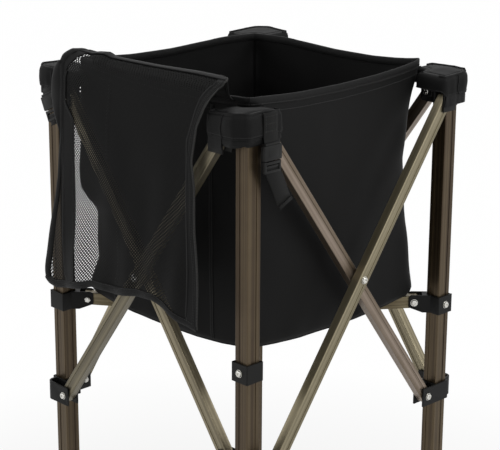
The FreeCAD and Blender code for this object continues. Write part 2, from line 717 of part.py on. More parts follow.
def make_corner_pocket(corner):
    body = new_body(f"corner_pocket_{corner}")
    plan = new_sketch(body, "XY_Plane")
    draw_loop(plan, pocket_outline(S["cloth"]))
    add_pad(body, plan, S["pocket_height"])
    inside = new_sketch(body, "XY_Plane")
    draw_loop(inside, pocket_outline(ZERO))
    add_pocket(body, inside, S["pocket_height"] - S["cloth"], back=True)
    # The ends stay open below, where the bars leave the forks.
    mouth = new_sketch(body, "XY_Plane")
    reach = S["fork_reach"]
    draw_box(mouth, -reach * 2, -outer_plate_face - over_head, -reach, over_nut - sleeve_inner)
    draw_box(mouth, -inner_plate_face - over_nut, reach, sleeve_outer + over_head, reach * 2)
    opening = top_pivot_height + S["bar_height"] / 1.5 - pocket_base_height
    add_pocket(body, mouth, opening, back=True)
    return body


def make_strap(label, side, start):
    # Webbing down the outer side of a pocket, with its closed buckle and the loose end below it.
    # side is how far out it lies, and start is where its width begins.
    height = S["pocket_height"]
    drop, thick, width = S["strap_drop"], S["strap_thickness"], S["strap_width"]
    web = new_body(label)
    plan = new_sketch(web, "XY_Plane", height - drop)
    draw_box(plan, side, start, side + thick, start + width)
    add_pad(web, plan, drop - S["cloth"])
    shell = new_sketch(web, "XY_Plane", height - drop)
    draw_box(shell, side, start, side + S["buckle_thickness"], start + width)
    add_pad(web, shell, S["buckle_length"], back=True)
    tail = new_sketch(web, "XY_Plane", height - drop - S["buckle_length"])
    draw_box(tail, side, start, side + thick, start + width)
    add_pad(web, tail, S["strap_tail"], back=True)
    return web


def make_pockets():
    over_cloth = over_head + S["cloth"] + clear
    beside_bar = S["strap_width"] / 5
    for turns, corner in enumerate(CORNERS):
        body = make_corner_pocket(corner)
        if "front" not in corner:
            seat(body, half_spacing, -half_spacing, pocket_base_height, turns)
            continue
        body.Label = f"pocket_cloth_{corner}"
        if corner == "front_right":
            strap = make_strap(f"strap_{corner}", sleeve_outer + over_cloth, beside_bar)
        else:
            # The left strap hangs on the cart's left side, outside the outer fork.
            strap = make_strap(
                f"strap_{corner}", outer_plate_face + over_cloth, -beside_bar - S["strap_width"])
            strap.Placement = FreeCAD.Placement(
                FreeCAD.Vector(0, 0, 0), FreeCAD.Rotation(FreeCAD.Vector(0, 0, 1), -90))
        whole = group(f"corner_pocket_{corner}", [body, strap])
        seat(whole, half_spacing, -half_spacing, pocket_base_height, turns)


def make_lid():
    # Hangs from its crest outside the front, in upright folds, and is cut to its slanting edges.
    body = new_body("lid")
    drop, thick = S["lid_drop"], S["lid_thickness"]
    face, depth = lid_face_reach, S["lid_fold_depth"]
    lip_end, lip_rise = -lid_crest_reach, depth * 2
    uncut = S["lid_width"] * 1.4
    front, back = [], []
    for i in range(LID_FOLD_ENDS):
        x = uncut * (i / (LID_FOLD_ENDS - 1)) - uncut / 2
        wave = depth if i % 2 else ZERO
        front.append((x, wave - face - thick))
        back.append((x, wave - face))
    plan = new_sketch(body, "XY_Plane")
    draw_loop(plan, front + back[::-1])
    add_pad(body, plan, drop, back=True)
    ends = uncut.number / 2
    add_fillet(body, S["lid_fold_round"], lambda edge: upright(edge) and (
        abs(edge.Vertexes[0].X) < ends - NEAR))
    crest = new_sketch(body, "YZ_Plane")
    draw_loop(crest, [
        (-face - thick, ZERO), (depth - face, ZERO), (lip_end, lip_rise), (lip_end, lip_rise + thick),
        (-face - thick + depth, lip_rise / 1.4),
    ])
    add_pad(body, crest, uncut, middle=True)
    top = lip_rise + thick
    far = uncut * 2
    around = new_sketch(body, "XZ_Plane")
    draw_box(around, -far, -far, far, far)
    draw_loop(around, [(S["lid_width"] * x, top + (drop + top) * z) for x, z in LID_EDGE_SHARES])
    add_pocket(body, around, middle=True)
    seat(body, ZERO, ZERO, bag_rim_height + S["lid_crest_rise"] - top)


def make_lid_hem():
    # The strip that joins the lid to the bag's rim, and on which the lid turns.
    body = new_body("lid_hem")
    thick, rise = S["lid_thickness"], S["lid_crest_rise"]
    start, end = clear - S["bag_half_width"], clear - lid_crest_reach
    side = new_sketch(body, "YZ_Plane")
    draw_loop(side, [
        (start, clear), (start + S["bag_wall"] - clear * 2, clear), (start + thick / 2, thick),
        (end + thick, rise), (end, rise), (end, rise - thick), (start - thick / 2, clear),
    ])
    add_pad(body, side, S["lid_width"] / 1.25, middle=True)
    seat(body, ZERO, ZERO, bag_rim_height)


def build():
    for turns, corner in enumerate(CORNERS):
        make_leg(corner, turns)
        make_top_bracket(corner, turns)
        make_mid_bracket(corner, turns)
        make_slider(corner, turns)
        make_slider_bolts(corner, turns)
        make_leg_fittings(corner, turns)
        make_support_arm(corner, turns)
        make_caster(corner, turns)
    for turns, face in enumerate(FACES):
        make_scissor(face, turns)
        make_crossing_bolt(face, turns)
        make_bag_wall(face, turns)
    make_hub()
    make_bag_floor()
    make_pockets()
    make_lid()
    make_lid_hem()
    doc.recompute()


def write_steps():
    os.makedirs("parts", exist_ok=True)
    for obj in doc.Objects:
        if "Invalid" in obj.State or "Error" in obj.State:
            raise ValueError(f"{obj.Label} did not compute: {obj.State}")
    for part in made:
        if part.Shape.isNull() or not part.Shape.isValid():
            raise ValueError(f"{part.Label} has no valid shape")
        part.Shape.exportStep(f"parts/{part.Label}.step")
        box = part.Shape.BoundBox
        print(part.Label, len(part.Shape.Solids), round(part.Shape.Volume), [
            round(v, 1) for v in (box.XMin, box.YMin, box.ZMin, box.XMax, box.YMax, box.ZMax)])


build()
write_steps()
print(len(made), "sub-parts")
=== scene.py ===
import bmesh
import bpy
import math
import numpy as np
from mathutils import Matrix, Vector, noise
from mathutils.geometry import delaunay_2d_cdt


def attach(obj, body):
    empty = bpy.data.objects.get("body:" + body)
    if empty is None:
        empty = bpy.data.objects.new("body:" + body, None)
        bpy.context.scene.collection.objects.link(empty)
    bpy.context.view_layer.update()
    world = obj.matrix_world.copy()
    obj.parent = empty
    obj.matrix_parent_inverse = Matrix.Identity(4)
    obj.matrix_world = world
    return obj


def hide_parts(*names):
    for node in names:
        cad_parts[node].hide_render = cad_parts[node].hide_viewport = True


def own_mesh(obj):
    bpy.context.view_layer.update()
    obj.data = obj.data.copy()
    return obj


# Folding cart with a cloth bag: legs and scissor bars of anodised aluminium, moulded brackets,
# a hung bag with corner pockets and straps, and a net lid folded out over the front.
# Lengths in the dictionaries are millimetres, and mm turns them into metres.

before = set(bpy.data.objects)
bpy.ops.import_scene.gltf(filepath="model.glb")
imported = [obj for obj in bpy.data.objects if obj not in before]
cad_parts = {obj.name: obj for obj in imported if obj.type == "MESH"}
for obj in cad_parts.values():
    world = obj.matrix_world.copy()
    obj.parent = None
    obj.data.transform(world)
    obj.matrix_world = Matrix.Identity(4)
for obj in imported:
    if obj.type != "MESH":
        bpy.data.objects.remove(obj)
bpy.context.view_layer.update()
mm = 0.001
cornerNames = ["front_right", "back_right", "back_left", "front_left"]
cornerSigns = [(1, -1), (1, 1), (-1, 1), (-1, -1)]
faceNames = ["right", "back", "left", "front"]


def newObject(name, data):
    piece = bpy.data.objects.new(name, data)
    bpy.context.scene.collection.objects.link(piece)
    return piece


# Camera at the photograph's angle, its place and clipping distances in metres

view = {"place": (1.787, -1.736, 1.417), "yaw": 45.87, "pitch": 17.46, "roll": 0.31, "lens": 125.6,
        "sensor": 36, "clip": (0.1, 60)}
camera = newObject("camera", bpy.data.cameras.new("camera"))
camera.data.lens = view["lens"]
camera.data.sensor_width = view["sensor"]
camera.data.clip_start, camera.data.clip_end = view["clip"]
yaw, pitch = math.radians(view["yaw"]), math.radians(view["pitch"])
looking = Vector((-math.sin(yaw) * math.cos(pitch), math.cos(yaw) * math.cos(pitch), -math.sin(pitch)))
rollTurn = Matrix.Rotation(math.radians(view["roll"]), 4, "Z")
camera.matrix_world = (Matrix.Translation(view["place"])
                       @ looking.to_track_quat("-Z", "Y").to_matrix().to_4x4() @ rollTurn)
bpy.context.scene.camera = camera


# Small helpers for nodes, materials and meshes

def linearColour(hexCode):
    values = [int(hexCode[i:i + 2], 16) / 255 for i in (1, 3, 5)]
    return tuple(v / 12.92 if v <= 0.04045 else ((v + 0.055) / 1.055) ** 2.4 for v in values) + (1.0,)


def addNode(tree, kind, inputs=None, **settings):
    node = tree.nodes.new(kind)
    for name, value in settings.items():
        setattr(node, name, value)
    for key, value in (inputs or {}).items():
        if isinstance(value, bpy.types.NodeSocket):
            tree.links.new(value, node.inputs[key])
        else:
            node.inputs[key].default_value = value
    return node


def newMaterial(name, colour, roughness, metallic=0.0, others=None):
    material = bpy.data.materials.new(name)
    material.use_nodes = True
    shader = material.node_tree.nodes["Principled BSDF"]
    shader.inputs["Base Color"].default_value = linearColour(colour)
    shader.inputs["Roughness"].default_value = roughness
    shader.inputs["Metallic"].default_value = metallic
    for key, value in (others or {}).items():
        shader.inputs[key].default_value = value
    return material, material.node_tree, shader


def addMath(tree, operation, *values, **settings):
    return addNode(tree, "ShaderNodeMath", dict(enumerate(values)), operation=operation, **settings).outputs["Value"]


def addRange(tree, value, start=0.0, end=1.0, low=0.0, high=1.0):
    # a value between start and end is turned into one between low and high
    return addNode(tree, "ShaderNodeMapRange", {
        "Value": value, "From Min": start, "From Max": end, "To Min": low, "To Max": high}).outputs["Result"]


def addNoise(tree, vector, size, detail, roughness=0.5):
    # size is about the distance between its features, in metres
    return addNode(tree, "ShaderNodeTexNoise", {
        "Vector": vector, "Scale": 1 / size, "Detail": detail, "Roughness": roughness}).outputs["Fac"]


def addBump(tree, shader, height, depth, strength):
    bump = addNode(tree, "ShaderNodeBump", {"Height": height, "Distance": depth, "Strength": strength})
    tree.links.new(bump.outputs["Normal"], shader.inputs["Normal"])


def varyColour(tree, shader, share, first, second):
    mixed = addNode(tree, "ShaderNodeMix", {0: share, 6: linearColour(first), 7: linearColour(second)},
                    data_type="RGBA")
    tree.links.new(mixed.outputs[2], shader.inputs["Base Color"])


def varyRoughness(tree, shader, share, low, high):
    tree.links.new(addRange(tree, share, low=low, high=high), shader.inputs["Roughness"])


def meshPiece(name, parts, material, sharpAngle=40):
    # parts is a list of (points, faces, uvs) in metres, joined into one object at the origin
    points, polygons, uvs = [], [], []
    for partPoints, partFaces, partUvs in parts:
        shift = len(points)
        points += [tuple(p) for p in partPoints]
        polygons += [tuple(i + shift for i in face) for face in partFaces]
        uvs += [tuple(uv) for uv in (partUvs if partUvs is not None else [(0, 0)] * len(partPoints))]
    mesh = bpy.data.meshes.new(name)
    mesh.from_pydata(points, [], polygons)
    layer = mesh.uv_layers.new(name="cloth")
    perLoop = np.array(uvs, float)[[loop.vertex_index for loop in mesh.loops]]
    layer.data.foreach_set("uv", perLoop.astype(np.float32).ravel())
    mesh.materials.append(material)
    mesh.validate()
    mesh.shade_smooth()
    mesh.set_sharp_from_angle(angle=math.radians(sharpAngle))
    return newObject(name, mesh)


def frozen(piece):
    # the piece with its modifiers worked into a plain mesh
    depsgraph = bpy.context.evaluated_depsgraph_get()
    mesh = bpy.data.meshes.new_from_object(piece.evaluated_get(depsgraph), depsgraph=depsgraph)
    piece.modifiers.clear()
    piece.data = mesh
    return piece


def thickened(piece, thickness, offset=-1.0):
    wall = piece.modifiers.new("wall", "SOLIDIFY")
    wall.thickness = thickness
    wall.offset = offset
    wall.use_even_offset = False
    return frozen(piece)


def placed(piece, body, replaced=()):
    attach(piece, body)
    if replaced:
        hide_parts(*replaced)
    return piece


def grid(points, closed=False, uvs=None, flip=False):
    # points[row][column] as one sheet of quads
    points = np.asarray(points, float)
    rows, columns = points.shape[:2]
    polygons = []
    for r in range(rows - 1):
        for c in range(columns if closed else columns - 1):
            d = (c + 1) % columns
            face = (r * columns + c, r * columns + d, (r + 1) * columns + d, (r + 1) * columns + c)
            polygons.append(face[::-1] if flip else face)
    flatUvs = None if uvs is None else np.asarray(uvs, float).reshape(-1, 2)
    return points.reshape(-1, 3), polygons, flatUvs


def sweep(path, side, profile, closed=False):
    # profile points (out, up) run round a closed section, out along side and up across it
    path, side = np.asarray(path, float), np.asarray(side, float)
    count = len(path)
    side = np.broadcast_to(side, path.shape)
    if closed:
        tangent = np.roll(path, -1, 0) - np.roll(path, 1, 0)
    else:
        tangent = np.gradient(path, axis=0)
    tangent /= np.linalg.norm(tangent, axis=1)[:, None] + 1e-12
    up = np.cross(tangent, side)
    up /= np.linalg.norm(up, axis=1)[:, None] + 1e-12
    out = np.cross(up, tangent)
    profile = np.asarray(profile, float)
    rings = path[:, None] + profile[None, :, 0, None] * out[:, None] + profile[None, :, 1, None] * up[:, None]
    around = np.concatenate([[0], np.cumsum(np.linalg.norm(np.diff(profile, axis=0), axis=1))])
    along = np.concatenate([[0], np.cumsum(np.linalg.norm(np.diff(path, axis=0), axis=1))])
    uvs = np.stack(np.broadcast_arrays(around[None, :], along[:, None]), -1)
    size = len(profile)
    polygons = []
    for r in range(count if closed else count - 1):
        s = (r + 1) % count
        for c in range(size):
            d = (c + 1) % size
            polygons.append((r * size + c, r * size + d, s * size + d, s * size + c))
    if not closed:
        polygons.append(tuple(range(size))[::-1])
        polygons.append(tuple((count - 1) * size + c for c in range(size)))
    area = 0.5 * sum(profile[i][0] * profile[(i + 1) % size][1] - profile[(i + 1) % size][0] * profile[i][1]
                     for i in range(size))
    if area < 0:
        polygons = [face[::-1] for face in polygons]
    return rings.reshape(-1, 3), polygons, uvs.reshape(-1, 2)


def tubeProfile(radius, steps=8):
    angles = np.linspace(0, 2 * math.pi, steps, endpoint=False)
    return [(radius * math.cos(a), radius * math.sin(a)) for a in angles]


def stripProfile(thickness, width, corner=None):
    # a flat rounded section: thickness along side, width across it
    t, w = thickness / 2, width / 2
    c = corner or t * 0.7
    return [(-t, -w + c), (-t + c, -w), (t - c, -w), (t, -w + c),
            (t, w - c), (t - c, w), (-t + c, w), (-t, w - c)]


def lathe(profile, steps=40, loop=False):
    # profile is (radius, height) from the bottom up, round the local Z axis
    profile = np.asarray(profile, float)
    angles = np.linspace(0, 2 * math.pi, steps, endpoint=False)
    points = np.stack([profile[:, None, 0] * np.cos(angles), profile[:, None, 0] * np.sin(angles),
                       np.broadcast_to(profile[:, None, 1], (len(profile), steps))], -1)
    if loop:
        points = np.concatenate([points, points[:1]])
    return grid(points, closed=True)


def latheRing(profile, steps):
    # a closed section in millimetres, turned round into a ring
    return lathe([(r * mm, z * mm) for r, z in profile], steps, loop=True)


def blockPart(size, centre, bevel):
    # a block with its twelve edges rounded once, sizes in metres
    box = bmesh.new()
    bmesh.ops.create_cube(box, size=1)
    bmesh.ops.scale(box, vec=size, verts=box.verts)
    bmesh.ops.bevel(box, geom=box.edges[:], offset=bevel, segments=2, profile=0.6, affect="EDGES")
    bmesh.ops.translate(box, vec=centre, verts=box.verts)
    box.verts.index_update()
    points = [tuple(v.co) for v in box.verts]
    polygons = [tuple(v.index for v in f.verts) for f in box.faces]
    box.free()
    return points, polygons, None


def moved(part, matrix):
    points, polygons, uvs = part
    return [tuple(matrix @ Vector(p)) for p in points], polygons, uvs


def welded(piece, distance=1e-5):
    # doubles merged and normals set to point outwards, for closed shells
    work = bmesh.new()
    work.from_mesh(piece.data)
    bmesh.ops.remove_doubles(work, verts=work.verts, dist=distance)
    bmesh.ops.recalc_face_normals(work, faces=work.faces)
    work.to_mesh(piece.data)
    work.free()
    return piece


def nodeTool(name, **sockets):
    # a Geometry Nodes tree that takes the named inputs after its geometry
    tree = bpy.data.node_groups.new(name, "GeometryNodeTree")
    tree.interface.new_socket("Geometry", in_out="INPUT", socket_type="NodeSocketGeometry")
    inputs = {key: tree.interface.new_socket(key, in_out="INPUT", socket_type=f"NodeSocket{kind}").identifier
              for key, kind in sockets.items()}
    tree.interface.new_socket("Geometry", in_out="OUTPUT", socket_type="NodeSocketGeometry")
    return tree, addNode(tree, "NodeGroupInput").outputs, inputs


def addInstances(tree, points, template, rotation, **others):
    shape = addNode(tree, "GeometryNodeObjectInfo", {"Object": template})
    return addNode(tree, "GeometryNodeInstanceOnPoints", {
        "Points": points, "Instance": shape.outputs["Geometry"], "Rotation": rotation, **others}).outputs["Instances"]


def closeTool(tree, geometries, material):
    # everything joined, made real and given one material
    joined = addNode(tree, "GeometryNodeJoinGeometry")
    for geometry in geometries:
        tree.links.new(geometry, joined.inputs["Geometry"])
    real = addNode(tree, "GeometryNodeRealizeInstances", {"Geometry": joined.outputs["Geometry"]})
    painted = addNode(tree, "GeometryNodeSetMaterial", {"Geometry": real.outputs["Geometry"], "Material": material})
    addNode(tree, "NodeGroupOutput", {"Geometry": painted.outputs["Geometry"]})


def worked(piece, tool, **values):
    # a node tool run on a piece and worked into its mesh
    tree, inputs = tool
    run = piece.modifiers.new("tool", "NODES")
    run.node_group = tree
    for key, value in values.items():
        run[inputs[key]] = value
    return frozen(piece)


frameSizes = {
    "legAxis": 200, "sliderHeight": 373, "topPivot": 836, "midHeight": 514, "pivotInset": 32,
    "forkFace": 33.0, "sleeveFace": 15.5, "boltGrip": 20.7, "scissorRise": 463, "scissorRun": 336,
    "armFall": 12, "armRun": 190.84, "armPivotReach": 36, "hubPivotRadius": 56,
}


def quarterTurns(turns, size=4):
    return Matrix.Rotation(math.pi / 2 * turns, size, "Z")


def cornerMatrix(turns):
    # from a corner drawn round the leg at front right to the leg of that corner
    return quarterTurns(turns) @ Matrix.Translation((frameSizes["legAxis"] * mm, -frameSizes["legAxis"] * mm, 0))


print("helpers and camera ready")


# Materials

# the tones are painted light and shade: each tube and face gets the colour it shows in the light from its direction,
# and the second colour of each pair is for its streaks
aluminium = {
    "leg": ("#5d503c", "#413527"), "outerBarAsLit": ("#9c937a", "#746c57"), "innerBarAsLit": ("#94867a", "#6d6051"),
    "frontOuterAsLit": ("#7e7661", "#5f594a"), "frontInnerAsLit": ("#908770", "#6c6451"), "arm": ("#857b62", "#685e49"),
    "lineSpacing": 0.9, "lineLength": 90, "lineDepth": 0.012, "streak": 4.2, "streakLength": 700,
    "streakRange": (0.36, 0.66), "streakShare": 0.75, "patch": 40, "satin": 0.35, "roughness": (0.3, 0.46),
    "metallic": 0.72,
}
surface = {
    "flowPatch": 22, "rubbedPatch": 55, "plasticShine": 0.15, "clothShine": 0.1, "tapeShine": 0.12, "sheen": 0.02,
    "tapeSatin": 0.6, "tapeRoughness": (0.62, 0.5), "zincTone": "#d2d1cc", "zinc": ("#dddcd8", "#bab8b0"),
    "zincCloud": 1.5, "zincSatin": 0.2, "zincRoughness": (0.14, 0.34),
}
aluminiumByDirectionAsLit = {}


def drawnNoise(tree, upright, spacing, length, detail, roughness):
    # noise drawn out along Z, its features spacing millimetres wide
    across, along = 1 / (spacing * mm), 1 / (length * mm)
    drawn = addNode(tree, "ShaderNodeMapping", {"Vector": upright, "Scale": (across, across, along)})
    return addNoise(tree, drawn.outputs["Vector"], 1, detail, roughness)


def anodisedAluminiumAsLit(direction, tone):
    # bronze and champagne anodised extrusion: satin, with fine drawn lines and die streaks along its length; its tone
    # is painted light and shade, one tone per tube direction and face for how that tube shows lit, shaded and
    # reflecting its surroundings
    direction = Vector(direction).normalized()
    key = tuple(round(v, 3) for v in direction) + (tone,)
    if key in aluminiumByDirectionAsLit:
        return aluminiumByDirectionAsLit[key]
    material, tree, shader = newMaterial(f"anodisedAluminium{len(aluminiumByDirectionAsLit)}", aluminium[tone][0],
                                         aluminium["satin"], aluminium["metallic"])
    place = addNode(tree, "ShaderNodeTexCoord").outputs["Object"]
    turn = direction.rotation_difference(Vector((0, 0, 1))).to_euler()
    upright = addNode(tree, "ShaderNodeMapping", {"Vector": place, "Rotation": turn}).outputs["Vector"]
    lines = drawnNoise(tree, upright, aluminium["lineSpacing"], aluminium["lineLength"], 3, 0.6)
    streaks = drawnNoise(tree, upright, aluminium["streak"], aluminium["streakLength"], 1, 0.4)
    marks = addMath(tree, "MULTIPLY", lines, addNoise(tree, place, aluminium["patch"] * mm, 2))
    sharper = addRange(tree, streaks, *aluminium["streakRange"])
    both = addMath(tree, "MULTIPLY_ADD", sharper, aluminium["streakShare"], marks)
    varyColour(tree, shader, both, *aluminium[tone])
    varyRoughness(tree, shader, lines, *aluminium["roughness"])
    addBump(tree, shader, lines, aluminium["lineDepth"] * mm, 0.6)
    aluminiumByDirectionAsLit[key] = material
    return material


def mouldedPlastic(name, colour, shade, grain, depth, roughness):
    # injection moulded, with a fine eroded grain from the mould and faint flow patches
    material, tree, shader = newMaterial(name, colour, roughness[0], others={
        "Specular IOR Level": surface["plasticShine"]})
    place = addNode(tree, "ShaderNodeTexCoord").outputs["Object"]
    speckle = addNoise(tree, place, grain * mm, 3)
    varyColour(tree, shader, addNoise(tree, place, surface["flowPatch"] * mm, 2), colour, shade)
    varyRoughness(tree, shader, speckle, *roughness)
    addBump(tree, shader, speckle, depth * mm, 0.5)
    return material


def wovenCloth(name, colour, shade, thread, depth, roughness):
    # plain weave read from the piece's own UV map, in metres, with broad rubbed patches
    material, tree, shader = newMaterial(name, colour, roughness[0], others={
        "Sheen Weight": surface["sheen"], "Sheen Roughness": 0.45, "Specular IOR Level": surface["clothShine"]})
    place = addNode(tree, "ShaderNodeTexCoord").outputs
    parts = addNode(tree, "ShaderNodeSeparateXYZ", {"Vector": place["UV"]}).outputs
    waves = [addMath(tree, "SINE", addMath(tree, "MULTIPLY", parts[axis], math.pi / (thread * mm)))
             for axis in ("X", "Y")]
    weave = addRange(tree, addMath(tree, "MULTIPLY", *waves), -1)
    rubbed = addNoise(tree, place["Object"], surface["rubbedPatch"] * mm, 4)
    varyColour(tree, shader, addMath(tree, "MULTIPLY", weave, rubbed), colour, shade)
    varyRoughness(tree, shader, rubbed, *roughness)
    addBump(tree, shader, weave, depth * mm, 0.7)
    return material


def ribbedWebbing(name, colour, shade, rib, depth):
    # flat polyester webbing: ribs across its length, read from UV
    material, tree, shader = newMaterial(name, colour, surface["tapeSatin"], others={
        "Sheen Weight": surface["sheen"], "Specular IOR Level": surface["tapeShine"]})
    place = addNode(tree, "ShaderNodeTexCoord").outputs["UV"]
    parts = addNode(tree, "ShaderNodeSeparateXYZ", {"Vector": place}).outputs
    phase = addMath(tree, "MULTIPLY", addMath(tree, "ADD", parts["X"], parts["Y"]), 2 * math.pi / (rib * mm))
    ribs = addRange(tree, addMath(tree, "SINE", phase), -1)
    varyColour(tree, shader, ribs, colour, shade)
    varyRoughness(tree, shader, ribs, *surface["tapeRoughness"])
    addBump(tree, shader, ribs, depth * mm, 0.8)
    return material


def platedSteel():
    # bright zinc plate: smooth, with a slight cloudiness
    material, tree, shader = newMaterial("zincPlatedSteel", surface["zincTone"], surface["zincSatin"], 1.0)
    place = addNode(tree, "ShaderNodeTexCoord").outputs["Object"]
    cloud = addNoise(tree, place, surface["zincCloud"] * mm, 3)
    varyColour(tree, shader, cloud, *surface["zinc"])
    varyRoughness(tree, shader, cloud, *surface["zincRoughness"])
    return material


legMaterial = anodisedAluminiumAsLit((0, 0, 1), "leg")
bracketPlastic = mouldedPlastic("glassFilledNylon", "#111111", "#181817", 0.7, 0.03, (0.42, 0.56))
bucklePlastic = mouldedPlastic("acetalBuckle", "#1b1b1b", "#242423", 0.5, 0.01, (0.36, 0.48))
casterPlastic = mouldedPlastic("casterNylon", "#1a1a1a", "#222221", 0.8, 0.04, (0.4, 0.54))
treadRubber = mouldedPlastic("greyTreadRubber", "#4c4c4b", "#565553", 0.6, 0.05, (0.7, 0.85))
steel = platedSteel()
bagCloth = wovenCloth("coatedPolyesterCloth", "#101010", "#1b1b1b", 1.1, 0.06, (0.52, 0.68))
liningCloth = wovenCloth("coatedLining", "#101010", "#1b1b1a", 1.1, 0.04, (0.46, 0.6))
bindingTape = ribbedWebbing("grosgrainBinding", "#0c0c0c", "#171717", 1.2, 0.1)
strapWebbing = ribbedWebbing("polyesterWebbing", "#0d0d0d", "#1a1a19", 1.8, 0.2)
netYarn = wovenCloth("knittedNetYarn", "#0f0f0f", "#1a1a19", 0.6, 0.05, (0.6, 0.75))
threadBlack = newMaterial("sewingThread", "#1f1f1e", 0.55)[0]
# the black coil is drawn mid grey, a painted highlight on the zip teeth
zipNylonHighlighted = mouldedPlastic("zipCoilNylon", "#3a3a39", "#4a4a48", 0.4, 0.01, (0.25, 0.4))
print("materials ready")


# Frame: the tubes keep their CAD shape, the moulded parts get their rounded edges

def barDirection(kind, turns):
    sign = -1 if kind == "inner" else 1
    run, rise = frameSizes["scissorRun"], frameSizes["scissorRise"]
    return quarterTurns(turns, 3) @ Vector((0, sign * run, rise))


def armDirection(turns):
    run, fall = frameSizes["armRun"] / math.sqrt(2), frameSizes["armFall"]
    return quarterTurns(turns, 3) @ Vector((run, -run, fall))


def repaint(node, material):
    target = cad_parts[node]
    target.data.materials.clear()
    target.data.materials.append(material)


for turns, face in enumerate(faceNames):
    # painted light and shade: the bars on the front and left faces take the front tones, the outer one darker as in
    # shade, and those on the right and back take the tones of the side lit from the right
    innerToneAsLit, outerToneAsLit = ("frontInnerAsLit", "frontOuterAsLit") if face in ("front", "left") else ("innerBarAsLit", "outerBarAsLit")
    repaint(f"bar_inner_{face}", anodisedAluminiumAsLit(barDirection("inner", turns), innerToneAsLit))
    repaint(f"bar_outer_{face}", anodisedAluminiumAsLit(barDirection("outer", turns), outerToneAsLit))
for turns, corner in enumerate(cornerNames):
    repaint(f"leg_{corner}", legMaterial)
    # the arms get their own tone for the light at their direction, painted light
    repaint(f"support_arm_{corner}", anodisedAluminiumAsLit(armDirection(turns), "arm"))

softEdges = {
    "bracket": 0.7, "hub": 0.8, "caster": 0.9, "shortest": 1.3, "steps": 2,
    "weld": 0.002, "flatAngle": 1.5, "sharpAngle": 28, "shadeAngle": 38,
}


def softenedCopy(node, body, name, material, width):
    # a merged copy of a moulded part, with a small radius on every edge but those of its holes
    work = bmesh.new()
    work.from_mesh(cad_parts[node].data)
    bmesh.ops.remove_doubles(work, verts=work.verts, dist=softEdges["weld"] * mm)
    bmesh.ops.recalc_face_normals(work, faces=work.faces)
    bmesh.ops.dissolve_limit(work, angle_limit=math.radians(softEdges["flatAngle"]),
                             verts=work.verts, edges=work.edges)
    sharp = [e for e in work.edges
             if len(e.link_faces) == 2 and e.calc_face_angle(0) > math.radians(softEdges["sharpAngle"])
             and e.calc_length() > softEdges["shortest"] * mm]
    mesh = bpy.data.meshes.new(name)
    work.to_mesh(mesh)
    # the edges' numbers are only right once the mesh has been written
    chosen = {e.index for e in sharp}
    work.free()
    weights = mesh.attributes.new("bevel_weight_edge", "FLOAT", "EDGE")
    weights.data.foreach_set("value", [1.0 if i in chosen else 0.0 for i in range(len(mesh.edges))])
    mesh.materials.append(material)
    piece = newObject(name, mesh)
    soft = piece.modifiers.new("edges", "BEVEL")
    soft.limit_method = "WEIGHT"
    soft.width = width * mm
    soft.segments = softEdges["steps"]
    soft.use_clamp_overlap = False
    frozen(piece)
    piece.data.materials.clear()
    piece.data.materials.append(material)
    piece.data.shade_smooth()
    piece.data.set_sharp_from_angle(angle=math.radians(softEdges["shadeAngle"]))
    return placed(piece, body, [node])


for corner in cornerNames:
    for node, body, name in (
        (f"top_bracket_{corner}", f"{corner}_leg", f"topBracket_{corner}"),
        (f"mid_bracket_{corner}", f"{corner}_leg", f"midBracket_{corner}"),
        (f"slider_{corner}", f"{corner}_slider", f"slider_{corner}_moulded"),
    ):
        softenedCopy(node, body, name, bracketPlastic, softEdges["bracket"])
    softenedCopy(f"caster_fork_{corner}", f"{corner}_caster", f"casterFork_{corner}",
                 casterPlastic, softEdges["caster"])
softenedCopy("hub", "hub", "hubPlate", bracketPlastic, softEdges["hub"])
print("frame and moulded parts ready")


# Bolts, nuts and spacers: one small template each, set out by Geometry Nodes along the pivots

boltSizes = {
    "headRadius": 5.0, "headHeight": 2.9, "socket": 1.7, "socketDepth": 1.4, "shank": 2.5,
    "washerRadius": 5.6, "washer": 0.5, "nutRadius": 4.6, "nutHeight": 3.6,
}
pivotSizes = {
    "topStep": 2.8, "armFork": 10.2, "armRise": 2, "armGrip": 20.4, "screwGrip": 6.8,
    "axle": (11.9, 20, 25), "axleGrip": 23.8, "hubHeight": 504,
    "hub": [((56, 10.3), (0, -1), 20.6), ((7.1, 56), (-1, 0), 17.4),
            ((-56, -7.1), (0, 1), 17.4), ((7.1, -56), (-1, 0), 17.4)],
    "crossing": (229.8, 0, 604.5), "crossingGrip": 32.1,
    "spacer": [(2.5, 12.4), (4.9, 12.4), (4.9, 15.7), (2.5, 15.7)],
    "footPlug": [(5.55, 66.3), (9.6, 66.3), (10.15, 66.9), (10.15, 100.3), (5.55, 100.3)],
}


def templateObject(name, parts, sharpAngle=35):
    template = meshPiece(name, parts, steel, sharpAngle)
    welded(template)
    template.hide_render = True
    return template


def buttonHead():
    # domed socket head: washer, rim, dome and a round recess for the key
    b = {key: value * mm for key, value in boltSizes.items()}
    head, top = b["headRadius"], b["washer"] + b["headHeight"]
    profile = [(0, 0), (b["washerRadius"], 0), (b["washerRadius"], b["washer"]), (head, b["washer"]),
               (head, b["washer"] + 0.5 * mm), (head * 0.86, top - 0.7 * mm), (head * 0.62, top - 0.1 * mm),
               (b["socket"] * 1.25, top), (b["socket"], top - 0.15 * mm),
               (b["socket"], top - b["socketDepth"]), (0, top - b["socketDepth"])]
    return lathe(profile, 24)


